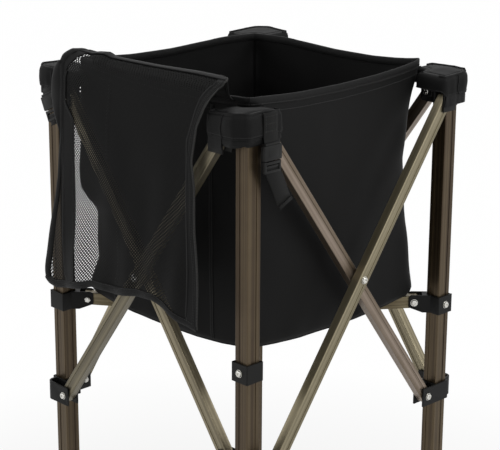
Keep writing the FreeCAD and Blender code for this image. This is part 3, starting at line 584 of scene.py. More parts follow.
def lockNut():
    # hexagon nut with a round collar and the bolt's end standing out of it
    b = {key: value * mm for key, value in boltSizes.items()}
    profile = [(0, 0), (b["nutRadius"] * 0.92, 0), (b["nutRadius"], 0.35 * mm),
               (b["nutRadius"], b["nutHeight"] * 0.62), (b["nutRadius"] * 0.8, b["nutHeight"] * 0.72),
               (b["nutRadius"] * 0.72, b["nutHeight"]), (b["shank"] * 1.05, b["nutHeight"]),
               (b["shank"] * 0.9, b["nutHeight"] + 0.5 * mm), (0, b["nutHeight"] + 0.5 * mm)]
    points, polygons, uvs = lathe(profile, 12)
    flat = []
    for x, y, z in points:
        # the lower part is drawn to a hexagon, the collar above it stays round
        if z <= b["nutHeight"] * 0.63 and math.hypot(x, y) > b["shank"]:
            angle = math.atan2(y, x)
            rest = (angle + math.pi / 6) % (math.pi / 3) - math.pi / 6
            pull = math.cos(math.pi / 6) / math.cos(rest)
            x, y = x * pull, y * pull
        flat.append((x, y, z))
    return flat, polygons, uvs


def fastenerTool():
    # on each point a head, a shank as long as the grip and, where one is wanted, a nut at its end
    tree, entry, inputs = nodeTool("fastenersOnPivots", Head="Object", Shank="Object", Nut="Object", Metal="Material")
    direction, grip, nutted = (
        addNode(tree, "GeometryNodeInputNamedAttribute", {"Name": name}, data_type=kind).outputs["Attribute"]
        for name, kind in (("direction", "FLOAT_VECTOR"), ("grip", "FLOAT"), ("nutted", "FLOAT")))
    back, step = (addNode(tree, "ShaderNodeVectorMath", {0: direction, "Scale": scale}, operation="SCALE")
                  for scale in (-1.0, grip))
    turnIn, turnOut = (
        addNode(tree, "FunctionNodeAlignRotationToVector", {"Vector": vector}, axis="Z").outputs["Rotation"]
        for vector in (direction, back.outputs["Vector"]))
    stretch = addNode(tree, "ShaderNodeCombineXYZ", {"X": 1.0, "Y": 1.0, "Z": grip})
    far = addNode(tree, "GeometryNodeSetPosition", {"Geometry": entry["Geometry"], "Offset": step.outputs["Vector"]})
    heads = addInstances(tree, entry["Geometry"], entry["Head"], turnOut)
    shanks = addInstances(tree, entry["Geometry"], entry["Shank"], turnIn, Scale=stretch.outputs["Vector"])
    nuts = addInstances(tree, far.outputs["Geometry"], entry["Nut"], turnIn, Selection=nutted)
    closeTool(tree, (heads, shanks, nuts), entry["Metal"])
    return tree, inputs


headTemplate = templateObject("headTemplate", [buttonHead()])
shankTemplate = templateObject("shankTemplate", [lathe(
    [(0, 0), (boltSizes["shank"] * mm, 0), (boltSizes["shank"] * mm, 1), (0, 1)], 16)])
nutTemplate = templateObject("nutTemplate", [lockNut()])
boltTool = fastenerTool()


def fasteners(name, body, bolts, replaced=(), extra=None):
    # bolts is a list of (place under the head, direction, grip, has a nut) in millimetres
    mesh = bpy.data.meshes.new(name)
    mesh.from_pydata([tuple(Vector(b[0]) * mm) for b in bolts], [], [])
    for key, kind, values in (
        ("direction", "FLOAT_VECTOR", [tuple(Vector(b[1]).normalized()) for b in bolts]),
        ("grip", "FLOAT", [b[2] * mm for b in bolts]), ("nutted", "FLOAT", [float(b[3]) for b in bolts]),
    ):
        layer = mesh.attributes.new(key, kind, "POINT")
        layer.data.foreach_set("vector" if kind == "FLOAT_VECTOR" else "value", np.array(values, np.float32).ravel())
    piece = newObject(name, mesh)
    worked(piece, boltTool, Head=headTemplate, Shank=shankTemplate, Nut=nutTemplate, Metal=steel)
    if extra is not None:
        joinParts(piece, extra)
    for leftover in ("direction", "grip", "nutted"):
        if leftover in piece.data.attributes:
            piece.data.attributes.remove(piece.data.attributes[leftover])
    return placed(piece, body, replaced)


def joinParts(piece, parts):
    other = meshPiece(piece.name + "_more", parts, steel, 35)
    welded(other)
    work = bmesh.new()
    work.from_mesh(piece.data)
    work.from_mesh(other.data)
    work.to_mesh(piece.data)
    work.free()
    bpy.data.objects.remove(other)
    return piece


def turnedBolt(bolt, matrix):
    place, direction, grip, nutted = bolt
    scaled = matrix @ (Vector(place) * mm)
    return (scaled / mm, matrix.to_3x3() @ Vector(direction), grip, nutted)


fork, sleeve, inset, grip = (frameSizes[key] for key in ("forkFace", "sleeveFace", "pivotInset", "boltGrip"))
low, top, mid = (frameSizes[key] for key in ("sliderHeight", "topPivot", "midHeight"))
slant = math.sqrt(0.5)
armReach, halfFork = frameSizes["armPivotReach"] * slant, pivotSizes["armFork"] * slant
for turns, corner in enumerate(cornerNames):
    matrix = cornerMatrix(turns)
    sliderBolts = [((fork, inset, low), (-1, 0, 0), grip, 1), ((-inset, -sleeve, low), (0, 1, 0), grip, 1)]
    fasteners(f"sliderPivots_{corner}", f"{corner}_slider", [turnedBolt(b, matrix) for b in sliderBolts],
              [f"slider_bolts_{corner}"])
    topStep = pivotSizes["topStep"]
    legBolts = [
        ((-inset, topStep - fork, top), (0, 1, 0), grip - topStep, 1),
        ((sleeve, inset, top), (-1, 0, 0), grip, 1),
        ((-armReach - halfFork, armReach - halfFork, mid + pivotSizes["armRise"]), (slant, slant, 0),
         pivotSizes["armGrip"], 1),
        ((0, -sleeve, mid), (0, 1, 0), pivotSizes["screwGrip"], 0),
    ]
    fasteners(f"legPivots_{corner}", f"{corner}_leg", [turnedBolt(b, matrix) for b in legBolts],
              [f"leg_fittings_{corner}"], [moved(latheRing(pivotSizes["footPlug"], 32), matrix)])
    x, y = (frameSizes["legAxis"] * sign for sign in cornerSigns[turns])
    aside, trail, height = pivotSizes["axle"]
    fasteners(f"casterAxle_{corner}", f"{corner}_caster", [
        ((x + aside, y + trail, height), (-1, 0, 0), pivotSizes["axleGrip"], 1)])
    # the hub's own axes stand at 45 degrees to the cart's
    (hx, hy), (dx, dy), hubGrip = pivotSizes["hub"][turns]
    fasteners(f"armPivot_{corner}", "hub" if turns == 0 else f"{corner}_arm", [
        ((slant * (hx + hy), slant * (hy - hx), pivotSizes["hubHeight"]), (slant * (dx + dy), slant * (dy - dx), 0),
         hubGrip, 1)])
for turns, face in enumerate(faceNames):
    turn = quarterTurns(turns)
    laid = (turn @ Matrix.Translation((frameSizes["legAxis"] * mm, 0, pivotSizes["crossing"][2] * mm))
            @ Matrix.Rotation(math.pi / 2, 4, "Y"))
    bolt = turnedBolt((pivotSizes["crossing"], (-1, 0, 0), pivotSizes["crossingGrip"], 1), turn)
    fasteners(f"crossing_{face}", f"{face}_outer_bar", [bolt], [f"crossing_bolt_{face}"],
              [moved(latheRing(pivotSizes["spacer"], 24), laid)])
for template in (headTemplate, shankTemplate, nutTemplate):
    bpy.data.objects.remove(template)
print("bolts and nuts ready")


# Casters: moulded wheel with a rubber tread, ribs set round the hub, and the swivel's ball race

casterSizes = {
    "wheelRadius": 25, "trail": 20, "ribs": 9, "ribRing": 12, "ribSize": (10.6, 1.5, 13.2),
    "core": [(3.05, -8.4), (6.2, -8.4), (6.8, -7.9), (7.0, -2.7), (7.6, -2.2), (16.4, -2.2), (17.0, -2.7),
             (17.3, -7.5), (17.8, -8.1), (19.4, -8.1)],
    "tread": [(19.3, -8.3), (22.9, -8.45), (24.3, -7.4), (24.9, -5.2), (25, -4.6), (24.5, -4.3), (24.5, -3.7),
              (25, -3.4)],
    "race": [(5.6, 58.9), (11.6, 58.9), (12.3, 59.6), (12.3, 61.4), (11.2, 62.2), (12.6, 63.4),
             (13.2, 64.2), (13.2, 65.3), (12.4, 66.1), (5.6, 66.1)],
}


def ribTool():
    # blocks in a ring round the axle, joined to the wheel
    tree, entry, inputs = nodeTool("ribsRoundHub", Count="Int", Radius="Float", Size="Vector", Plastic="Material")
    ring = addNode(tree, "GeometryNodeMeshCircle", {"Vertices": entry["Count"], "Radius": entry["Radius"]})
    block = addNode(tree, "GeometryNodeMeshCube", {"Size": entry["Size"]})
    outward = addNode(tree, "GeometryNodeInputPosition")
    aimed = addNode(tree, "FunctionNodeAlignRotationToVector", {"Vector": outward.outputs["Position"]}, axis="X")
    ribs = addNode(tree, "GeometryNodeInstanceOnPoints", {
        "Points": ring.outputs["Mesh"], "Instance": block.outputs["Mesh"], "Rotation": aimed.outputs["Rotation"]})
    closeTool(tree, (entry["Geometry"], ribs.outputs["Instances"]), entry["Plastic"])
    return tree, inputs


def mirrored(side):
    return side + [(r, -z) for r, z in reversed(side)]


wheelTool = ribTool()
corePart = latheRing(mirrored(casterSizes["core"]), 48)
treadPart = latheRing(mirrored(casterSizes["tread"]), 56)
racePart = latheRing(casterSizes["race"], 40)
for turns, corner in enumerate(cornerNames):
    x, y = (frameSizes["legAxis"] * sign for sign in cornerSigns[turns])
    spot = (Matrix.Translation((x * mm, (y + casterSizes["trail"]) * mm, casterSizes["wheelRadius"] * mm))
            @ Matrix.Rotation(math.pi / 2, 4, "Y"))
    core = meshPiece(f"wheelCore_{corner}", [corePart], casterPlastic, 35)
    worked(core, wheelTool, Count=casterSizes["ribs"], Radius=casterSizes["ribRing"] * mm,
           Size=[v * mm for v in casterSizes["ribSize"]], Plastic=casterPlastic)
    core.data.transform(spot)
    welded(core)
    placed(core, f"{corner}_wheel", [f"caster_wheel_{corner}"])
    tread = meshPiece(f"wheelTread_{corner}", [moved(treadPart, spot)], treadRubber, 50)
    welded(tread)
    placed(tread, f"{corner}_wheel")
    race = meshPiece(f"ballRace_{corner}", [moved(racePart, Matrix.Translation((x * mm, y * mm, 0)))], steel, 35)
    welded(race)
    placed(race, f"{corner}_caster")
print("casters ready")


# Stitches and zip teeth: one small solid set along an edge at a pitch

def rowTool():
    # one small solid at each step of a line, turned along it
    tree, entry, inputs = nodeTool("rowAlongEdge", Pitch="Float", Piece="Object", Finish="Material")
    line = addNode(tree, "GeometryNodeMeshToCurve", {"Mesh": entry["Geometry"]})
    spaced = addNode(tree, "GeometryNodeResampleCurve", {
        "Curve": line.outputs["Curve"], "Length": entry["Pitch"]}, mode="LENGTH")
    tangent = addNode(tree, "GeometryNodeInputTangent")
    along = addNode(tree, "FunctionNodeAlignRotationToVector", {"Vector": tangent.outputs["Tangent"]}, axis="X")
    rows = addInstances(tree, spaced.outputs["Curve"], entry["Piece"], along.outputs["Rotation"])
    closeTool(tree, [rows], entry["Finish"])
    return tree, inputs


def spindle(length, radius):
    # one stitch: a short thread with drawn-in ends
    ends = [(-length / 2, radius * 0.3), (-length / 3.2, radius), (length / 3.2, radius), (length / 2, radius * 0.3)]
    rings = [[(x, r * math.cos(a), r * math.sin(a)) for a in (0.4, 1.97, 3.54, 5.11)] for x, r in ends]
    points, polygons, _ = grid(rings, closed=True)
    return points, polygons + [(3, 2, 1, 0), (12, 13, 14, 15)], None


threadSizes = {"stitch": 2.6, "radius": 0.28, "pitch": 3.6, "tooth": (1.1, 1.2, 3.4), "toothPitch": 2.1}
seamTool = rowTool()
stitchTemplate = templateObject("stitchTemplate", [spindle(threadSizes["stitch"] * mm, threadSizes["radius"] * mm)])
toothTemplate = templateObject("toothTemplate", [blockPart(
    [v * mm for v in threadSizes["tooth"]], (0, 0, 0), 0.3 * mm)])


def rowPiece(name, lines, template, pitch, finish):
    points, edges = [], []
    for line in lines:
        start = len(points)
        points += [tuple(p) for p in line]
        edges += [(start + i, start + i + 1) for i in range(len(line) - 1)]
    mesh = bpy.data.meshes.new(name)
    mesh.from_pydata(points, edges, [])
    return worked(newObject(name, mesh), seamTool, Pitch=pitch * mm, Piece=template, Finish=finish)


def stitches(name, lines):
    return rowPiece(name, lines, stitchTemplate, threadSizes["pitch"], threadBlack)


# Bag: one sagging shell, cut at its corner seams into four walls

bag = {
    "halfWidth": 177, "columns": 60, "rows": 58, "thickness": 1.5, "seam": 0.603, "seamFoot": 529, "rimStitches": 17,
    "rimTape": (3.6, 12, 1.2), "seamTape": (0.9, 7), "footTube": 1.4, "seamStitches": 0.013,
    "rim": [(0, 875.5), (0.45, 877), (0.7, 880), (0.88, 883), (1, 883.5)],
    "foot": [(0, 521), (0.4, 522.5), (0.7, 526), (0.9, 530), (1, 532)],
    "bulge": [(520, 0), (545, 3), (640, 7), (760, 6), (850, 2), (890, 0)],
    "drawnIn": {
        "front_right": [(528, 4), (600, 9), (700, 10), (800, 5), (850, -2), (890, -4)],
        "back_right": [(528, 2), (536, 1.5), (589, 6), (641, 11), (692, 14.5), (740, 15.7), (795, 13), (840, 8),
                       (870, 3), (890, 1)],
        "back_left": [(528, 4), (600, 9), (700, 11), (800, 7), (850, 1), (890, 0)],
        "front_left": [(528, 2.5), (548, 2.5), (582, 11.5), (635, 11.5), (659, 10.5), (672, 2), (690, -6), (723, -8),
                       (765, -6), (805, -6), (840, -2), (880, 0)],
    },
    "cornerPower": 2.6, "bulgePower": 2.4, "turnedIn": [0.3, 1.6, 4.5, 9], "turnedDown": [1.6, 2.2],
    "hump": {"back_right": (2.5, 0.09), "back_left": (-11, 0.3)}, "sag": {"left": 4, "back": 3},
    "rounding": 7, "roundedShare": 0.35, "roundedDepth": 120, "cornerColumns": 12,
    "cornerCurve": {"back_right": 1.0, "front_right": 1.0, "back_left": 1.0},
}
wrinkles = {
    "size": 1.5, "broad": 1.1, "fine": 0.35, "drag": 0.5, "low": 0.5, "dragSlope": 150, "dragPitch": 0.075,
    "dragFade": 3.4, "lowFrom": 210, "lowOver": 140, "flatRim": 40,
    "broadPitch": (9, 6), "finePitch": (26, 15),
}


def table(pairs, value):
    return np.interp(value, [p[0] for p in pairs], [p[1] for p in pairs])


def turned(point, turns):
    x, y, z = point
    x, y = [(x, y), (-y, x), (-x, -y), (y, -x)][turns % 4]
    return (x, y, z)


def rimHeight(turns, u):
    # along a wall from -1 to 1: level in the middle, up to the corners, and each corner's own rise
    height = table(bag["rim"], abs(u)) - bag["sag"].get(faceNames[turns % 4], 0) * (1 - u * u)
    for name, near in ((cornerNames[turns % 4], 1 + u), (cornerNames[(turns + 1) % 4], 1 - u)):
        rise, width = bag["hump"].get(name, (0, 1))
        height += rise * math.exp(-(near / width) ** 2)
    return height


def bagShell():
    # rows from the rim down, columns once round from the front right corner, in metres
    half, columns, rows = bag["halfWidth"], bag["columns"], bag["rows"]
    down = np.concatenate([np.linspace(0, 1, rows), [1.0, 1.0]])
    inward = np.concatenate([np.zeros(rows - 2), bag["turnedIn"]])
    lower = np.concatenate([np.zeros(rows), bag["turnedDown"]])
    shell = np.zeros((len(down), 4 * columns, 3))
    for turns in range(4):
        start, end = cornerNames[turns], cornerNames[(turns + 1) % 4]
        for c in range(columns):
            u = 2 * c / columns - 1
            top, foot = rimHeight(turns, u), table(bag["foot"], abs(u))
            z = top + (foot - top) * down
            first, last = table(bag["drawnIn"][start], z), table(bag["drawnIn"][end], z)
            nearStart, nearEnd = ((1 - u) / 2) ** bag["cornerPower"], ((1 + u) / 2) ** bag["cornerPower"]
            swell = table(bag["bulge"], z) * (1 - abs(u) ** bag["bulgePower"])
            out = half - first * nearStart - last * nearEnd + swell - inward
            along = u * (half - inward) + first * nearStart - last * nearEnd
            for r in range(len(down)):
                shell[r, turns * columns + c] = turned((out[r], along[r], z[r] - lower[r]), turns)
    smooth = shell.copy()
    for step in range(bag["rounding"]):
        smooth = 0.5 * smooth + 0.25 * (np.roll(smooth, 1, 1) + np.roll(smooth, -1, 1))
    least = np.full(4 * columns, bag["roundedShare"])
    near = range(-bag["cornerColumns"], bag["cornerColumns"] + 1)
    for name, value in bag["cornerCurve"].items():
        least[[(cornerNames.index(name) * columns + i) % (4 * columns) for i in near]] = value
    share = np.clip((shell[:, :, 2].max() - shell[:, :, 2]) / bag["roundedDepth"], least[None, :], 1)[:, :, None]
    shell[:, :, :2] += (smooth - shell)[:, :, :2] * share
    return shell * mm


def ringNormals(shell):
    tangent = np.roll(shell, -1, 1) - np.roll(shell, 1, 1)
    normal = np.stack([tangent[:, :, 1], -tangent[:, :, 0], np.zeros(tangent.shape[:2])], -1)
    return normal / (np.linalg.norm(normal, axis=2)[:, :, None] + 1e-12)


def wrinkled(shell):
    # broad slack, drag lines from the corners that carry the weight, and small creases low down
    normal = ringNormals(shell)
    columns = bag["columns"]
    for r in range(shell.shape[0]):
        fromRim = (shell[0, 0, 2] - shell[r, 0, 2]) / mm
        for c in range(shell.shape[1]):
            place = Vector(shell[r, c])
            u = (c % columns) / columns * 2 - 1
            (wide, tall), (close, low) = wrinkles["broadPitch"], wrinkles["finePitch"]
            broad = noise.noise(Vector((place.x * wide, place.y * wide, place.z * tall + 3)))
            fine = noise.noise(Vector((place.x * close + 7, place.y * close, place.z * low)))
            acrossWall = 1 - abs(u)
            drag = (math.sin((fromRim - acrossWall * wrinkles["dragSlope"]) * wrinkles["dragPitch"] + 2 * broad)
                    * math.exp(-acrossWall * wrinkles["dragFade"]))
            low = min(1.0, max(0.0, (fromRim - wrinkles["lowFrom"]) / wrinkles["lowOver"]))
            amount = wrinkles["size"] * (wrinkles["broad"] * broad + wrinkles["fine"] * fine
                                         + wrinkles["drag"] * drag + wrinkles["low"] * low * fine)
            amount *= min(1.0, fromRim / wrinkles["flatRim"])
            shell[r, c] += normal[r, c] * amount * mm
    return shell


bagRows = wrinkled(bagShell())
bagNormals = ringNormals(bagRows)
walls = {  # face: body, squash axis, anchor
    "right": ("front_right_leg", (0, 1, 0), (0, -0.177, 0)), "back": ("back_right_leg", (1, 0, 0), (0.177, 0, 0)),
    "left": ("front_left_leg", (0, 1, 0), (0, -0.177, 0)), "front": ("front_right_leg", (1, 0, 0), (0.177, 0, 0)),
}


def wallColumns(turns):
    count = bagRows.shape[1]
    return [(turns * bag["columns"] + i) % count for i in range(bag["columns"] + 1)]


def onWall(turns, along, height, lift=0.0):
    # a point on a wall's outer surface, along from -1 to 1, height in millimetres, lifted outwards
    position = (along + 1) / 2 * bag["columns"]
    columns = wallColumns(turns)
    low = min(int(position), bag["columns"] - 1)
    share = position - low
    line = bagRows[:, columns[low]] * (1 - share) + bagRows[:, columns[low + 1]] * share
    out = bagNormals[:, columns[low]] * (1 - share) + bagNormals[:, columns[low + 1]] * share
    order = np.argsort(line[:, 2])
    point = [np.interp(height * mm, line[order, 2], line[order, k]) for k in range(3)]
    normal = [np.interp(height * mm, line[order, 2], out[order, k]) for k in range(3)]
    return np.array(point) + np.array(normal) * lift * mm, np.array(normal)


def softened(piece, turns):
    body, axis, anchor = walls[faceNames[turns]]
    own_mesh(piece)
    return piece


def rimPath(turns, drop, lift):
    columns = wallColumns(turns)
    points, sides = [], []
    for column in columns:
        normal = bagNormals[2, column]
        points.append(bagRows[0, column] + normal * lift * mm - np.array((0, 0, drop * mm)))
        sides.append(normal)
    return np.array(points), np.array(sides)


for turns, face in enumerate(faceNames):
    body = walls[face][0]
    columns = wallColumns(turns)
    sheet = bagRows[:, columns]
    lengths = np.linspace(0, 2 * bag["halfWidth"] * mm, len(columns))
    uvs = [[(lengths[c], sheet[r, c, 2]) for c in range(len(columns))] for r in range(len(sheet))]
    wall = thickened(meshPiece(f"bagWall_{face}", [grid(sheet, uvs=uvs, flip=True)], bagCloth, 60),
                     bag["thickness"] * mm)
    placed(wall, body, [f"bag_wall_{face}"])
    softened(wall, turns)
    path, sides = rimPath(turns, 2, -0.7)
    parts = [sweep(path, sides, stripProfile(*(v * mm for v in bag["rimTape"])))]
    foot = bagRows[bag["rows"], columns] - np.array((0, 0, 0.3 * mm))
    parts.append(sweep(foot, bagNormals[bag["rows"], columns], tubeProfile(bag["footTube"] * mm)))
    seams = [-bag["seam"], bag["seam"]] if face in ("front", "back") else []
    seamLines = []
    for along in seams:
        heights = np.linspace(rimHeight(turns, along) - bag["rimTape"][1], bag["seamFoot"], 50)
        found = [onWall(turns, along, h, 0.35) for h in heights]
        tape = stripProfile(*(v * mm for v in bag["seamTape"]))
        parts.append(sweep([p for p, n in found], [n for p, n in found], tape))
        for shift in (-bag["seamStitches"], bag["seamStitches"]):
            seamLines.append([onWall(turns, along + shift, h, 0.95)[0] for h in heights])
    binding = meshPiece(f"bagBinding_{face}", parts, bindingTape, 50)
    placed(binding, body)
    softened(binding, turns)
    seamLines.append(rimPath(turns, 5.6, 1.15)[0])
    seamLines.append([onWall(turns, u, rimHeight(turns, u) - bag["rimStitches"], 0.1)[0]
                      for u in np.linspace(-0.97, 0.97, 60)])
    thread = stitches(f"bagStitching_{face}", seamLines)
    placed(thread, body)
    softened(thread, turns)
print("bag walls ready")


# Floor of the bag: four quarters that sag between the support arms

floorPanel = {
    "centre": 515.2, "armRise": 12 / 190.8, "rings": 26, "sag": 5, "ripple": 0.8, "slack": 1.1, "thickness": 1.2,
}


def armTop(reach):
    # the height of an arm's upper side at a distance from the cart's middle
    return floorPanel["centre"] + floorPanel["armRise"] * max(0, reach - frameSizes["hubPivotRadius"])


for turns, corner in enumerate(cornerNames):
    # from the middle of one wall round the corner to the middle of the next
    half = bag["columns"] // 2
    edge = [(turns * bag["columns"] + i) % (4 * bag["columns"]) for i in range(-half, half + 1)]
    rimOfFloor = bagRows[-1, edge] / mm
    shares = np.linspace(0, 1, floorPanel["rings"])
    sheet = np.zeros((len(shares), len(edge), 3))
    for c, point in enumerate(rimOfFloor):
        reach = math.hypot(point[0], point[1])
        diagonal = (2 * abs(point[0] * point[1]) / reach ** 2) ** 3
        for r, share in enumerate(shares):
            sag = floorPanel["sag"] * math.sin(math.pi * share) * (1 - diagonal)
            ripple = floorPanel["ripple"] * noise.noise(
                Vector((point[0] * share * 0.02, point[1] * share * 0.02, 5)))
            slack = floorPanel["slack"] * share * share
            sheet[r, c] = (
                point[0] * share, point[1] * share,
                armTop(reach * share) + (point[2] - armTop(reach)) * share ** 5 - sag + (ripple + slack) * (1 - share))
    uvs = sheet[:, :, :2] * mm
    quarter = thickened(meshPiece(f"bagFloor_{corner}", [grid(sheet * mm, uvs=uvs, flip=True)], liningCloth, 60),
                        floorPanel["thickness"] * mm, 1.0)
    welded(quarter)
    x, y = cornerSigns[turns]
    placed(quarter, f"{corner}_arm", ["bag_floor"])
    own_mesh(quarter)
print("bag floor ready")


# Corner pockets: padded cloth caps over the tops of the legs, drawn round the front right leg

pocket = {
    "hem": 845, "mouth": 851, "thickness": 1.6, "puff": 1.4, "step": 2.2, "capStep": 5.0, "levels": 13,
    "top": {"front_right": 875, "back_right": 873, "back_left": 873.4, "front_left": 872},
    "peak": {"front_right": 5, "back_right": 3, "back_left": 1, "front_left": 2},
    # the heights of the dark strips under the hem, painted shade of the recess there
    "strip": {"front_right": 9, "back_right": 16, "back_left": 16, "front_left": 12}, "sideShadeStrip": 17,
    "outline": [(-45.4, -35.2, 8), (4, -35.2, 13), (20.2, -19, 13), (20.2, 45.4, 8), (-20.5, 45.4, 4), (-20.5, 27, 2),
                (-27, 20.5, 2), (-45.4, 20.5, 5)],
    "shoulder": [(0.4, 6), (1.4, 9.4), (3.4, 11.6), (6.4, 12.4), (9.5, 12.7)],
    "mouthFrom": 41, "mouthOver": 4, "insideFrom": 14, "insideOver": 5, "hemCurve": 1.3, "peakReach": 30,
    "cornerPeak": (12, -28, 0.8), "seams": [((-13.7, -35.2), -4), ((20.2, 8.2), 0)], "seamTube": 1.0,
    "hemTube": 1.1, "shoulderTape": (1.0, 5, 0.4), "stripEnds": ((-43, -35.2), (20.2, 43)),
    "sideShadeStripEnds": ((-43, -35.2), (-14, -35.2)), "tapeEnds": ((-45.4, -20), (5, 45.4)),
}


def roundedOutline(points):
    # a closed outline with rounded corners, its points evenly spaced
    count = len(points)
    line = []
    for i in range(count):
        before, here, after = (Vector(points[(i + k) % count][:2]) for k in (-1, 0, 1))
        radius = points[i][2]
        toBefore, toAfter = (before - here).normalized(), (after - here).normalized()
        half = toBefore.angle(toAfter) / 2
        cut = radius / math.tan(half)
        first, last = here + toBefore * cut, here + toAfter * cut
        for k in range(9):
            t = k / 8
            line.append(first * (1 - t) ** 2 + here * 2 * t * (1 - t) + last * t * t)
    dense = np.array([tuple(p) for p in line] + [tuple(line[0])])
    lengths = np.concatenate([[0], np.cumsum(np.linalg.norm(np.diff(dense, axis=0), axis=1))])
    wanted = np.linspace(0, lengths[-1], int(lengths[-1] / pocket["step"]), endpoint=False)
    return np.stack([np.interp(wanted, lengths, dense[:, k]) for k in (0, 1)], -1)


pocketRing = roundedOutline(pocket["outline"])
ringTangent = np.roll(pocketRing, -1, 0) - np.roll(pocketRing, 1, 0)
ringTangent /= np.linalg.norm(ringTangent, axis=1)[:, None]
ringOut = np.stack([ringTangent[:, 1], -ringTangent[:, 0]], -1)


def hemHeight(x, y):
    # low on the two outer sides, higher at the mouths where the bars leave and on the side of the bag
    far, near = pocket["mouthFrom"], pocket["insideFrom"]
    toMouth = max(-far - x, y - far, 0) / pocket["mouthOver"]
    inside = max(min(-near - x, y + near), min(y - near, near - x), 0) / pocket["insideOver"]
    return pocket["hem"] + (pocket["mouth"] - pocket["hem"]) * min(1, toMouth + inside) ** pocket["hemCurve"]


def topHeight(x, y, corner):
    # highest over the leg and its outer corner, falling to the ends of the two arms
    cornerX, cornerY, share = pocket["cornerPeak"]
    overLeg = math.exp(-(math.hypot(x, y) / pocket["peakReach"]) ** 2)
    overCorner = share * math.exp(-(math.hypot(x - cornerX, y - cornerY) / pocket["peakReach"]) ** 2)
    return pocket["top"][corner] + pocket["peak"][corner] * max(overLeg, overCorner)


def pocketPuff(x, y, z, seed):
    # the corner panel stands out between its side seams, the rest lies flat
    rise = (z - pocket["hem"]) / 30
    onCorner = max(0.0, min(1.0, (x + 14) / 8)) * max(0.0, min(1.0, (8 - y) / 8))
    outer = 1.0 if x > 14 or y < -30 else 0.25
    wave = noise.noise(Vector((x * 0.05 + seed, y * 0.05, z * 0.07)))
    crease = noise.noise(Vector((x * 0.13, y * 0.13 + seed, z * 0.05)))
    swell = pocket["puff"] * onCorner * math.sin(math.pi * min(1, max(0, rise))) ** 0.7
    return swell + outer * (1.0 * wave + 0.7 * crease)


def cappedRing(ring, capTop):
    # the closed top: points on a grid inside the ring, joined by triangles
    inside = []
    low, high = ring.min(0), ring.max(0)
    edges = [(i, (i + 1) % len(ring)) for i in range(len(ring))]
    ends = np.roll(ring, -1, 0)
    for x in np.arange(low[0], high[0], pocket["capStep"]):
        for y in np.arange(low[1], high[1], pocket["capStep"]):
            crossing = ((ring[:, 1] > y) != (ends[:, 1] > y)) & (
                x < (ends[:, 0] - ring[:, 0]) * (y - ring[:, 1]) / (ends[:, 1] - ring[:, 1] + 1e-12) + ring[:, 0])
            if crossing.sum() % 2 and np.min(np.linalg.norm(ring - (x, y), axis=1)) > pocket["capStep"] / 2:
                inside.append((x, y))
    points = [Vector(p) for p in ring] + [Vector(p) for p in inside]
    found = delaunay_2d_cdt(points, edges, [], 1, 1e-6)
    flat = [(p.x, p.y, capTop(p.x, p.y)) for p in found[0]]
    faces = []
    for face in found[2]:
        a, b, c = (found[0][i] for i in face[:3])
        faces.append(tuple(face) if (b - a).cross(c - a) > 0 else tuple(face)[::-1])
    return flat, faces


def pocketParts(corner, seed):
    hems = np.array([hemHeight(x, y) for x, y in pocketRing])
    tops = np.array([topHeight(x, y, corner) for x, y in pocketRing]) - pocket["shoulder"][-1][1]
    levels = [(hems + (tops - hems) * share, 0, 0) for share in np.linspace(0, 1, pocket["levels"])]
    levels += [(tops, inset, above) for inset, above in pocket["shoulder"]]
    rows = [[(x + n[0] * (d - inset), y + n[1] * (d - inset), z + above)
             for (x, y), n, z in zip(pocketRing, ringOut, heights) for d in (pocketPuff(x, y, z, seed),)]
            for heights, inset, above in levels]
    lengths = np.arange(len(pocketRing)) * pocket["step"] * mm
    uvs = [[(length, p[2] * mm) for length, p in zip(lengths, row)] for row in rows]
    sides = grid(np.array(rows) * mm, closed=True, uvs=uvs)
    rim = np.array(rows[-1])[:, :2]
    rimTops = np.array(rows[-1])[:, 2]

    def capTop(x, y):
        away = np.linalg.norm(rim - (x, y), axis=1)
        nearest = int(np.argmin(away))
        if away[nearest] < 0.01:
            return rimTops[nearest]
        blend = min(1, away[nearest] / 5)
        ripple = 0.9 * noise.noise(Vector((x * 0.05 + seed, y * 0.05, 2))) * blend
        return rimTops[nearest] * (1 - blend) + topHeight(x, y, corner) * blend + ripple

    flat, faces = cappedRing(rim, capTop)
    cap = ([tuple(v * mm for v in p) for p in flat], faces, [(p[0] * mm, p[1] * mm) for p in flat])
    return sides, cap, rows


def ringLine(rows, level, lift):
    # a line round the pocket at one row of its sides, lifted outwards
    return np.array([(p[0] + n[0] * lift, p[1] + n[1] * lift, p[2]) for p, n in zip(rows[level], ringOut)]) * mm


def alongSide(start, end):
    # the points of the outline that run round its outer side, from one place to another
    nearest = [int(np.argmin(np.linalg.norm(pocketRing - p, axis=1))) for p in (start, end)]
    count = len(pocketRing)
    span = (nearest[1] - nearest[0]) % count
    return [(nearest[0] + i) % count for i in range(span + 1)]


def seamUp(rows, place, bend):
    # a sewn seam from the hem to the shoulder, bending aside by bend at half height
    index = int(np.argmin(np.linalg.norm(pocketRing - np.array(place), axis=1)))
    line, normals = [], []
    for level in range(len(rows) - 2):
        shift = bend * math.sin(math.pi * level / (len(rows) - 2)) / pocket["step"]
        low = int(math.floor(shift))
        a, b = (index + low) % len(pocketRing), (index + low + 1) % len(pocketRing)
        share = shift - low
        p = np.array(rows[level][a]) * (1 - share) + np.array(rows[level][b]) * share
        n = ringOut[a] * (1 - share) + ringOut[b] * share
        line.append(p + np.array((n[0], n[1], 0)) * 0.2)
        normals.append((n[0], n[1], 0))
    return np.array(line) * mm, np.array(normals)


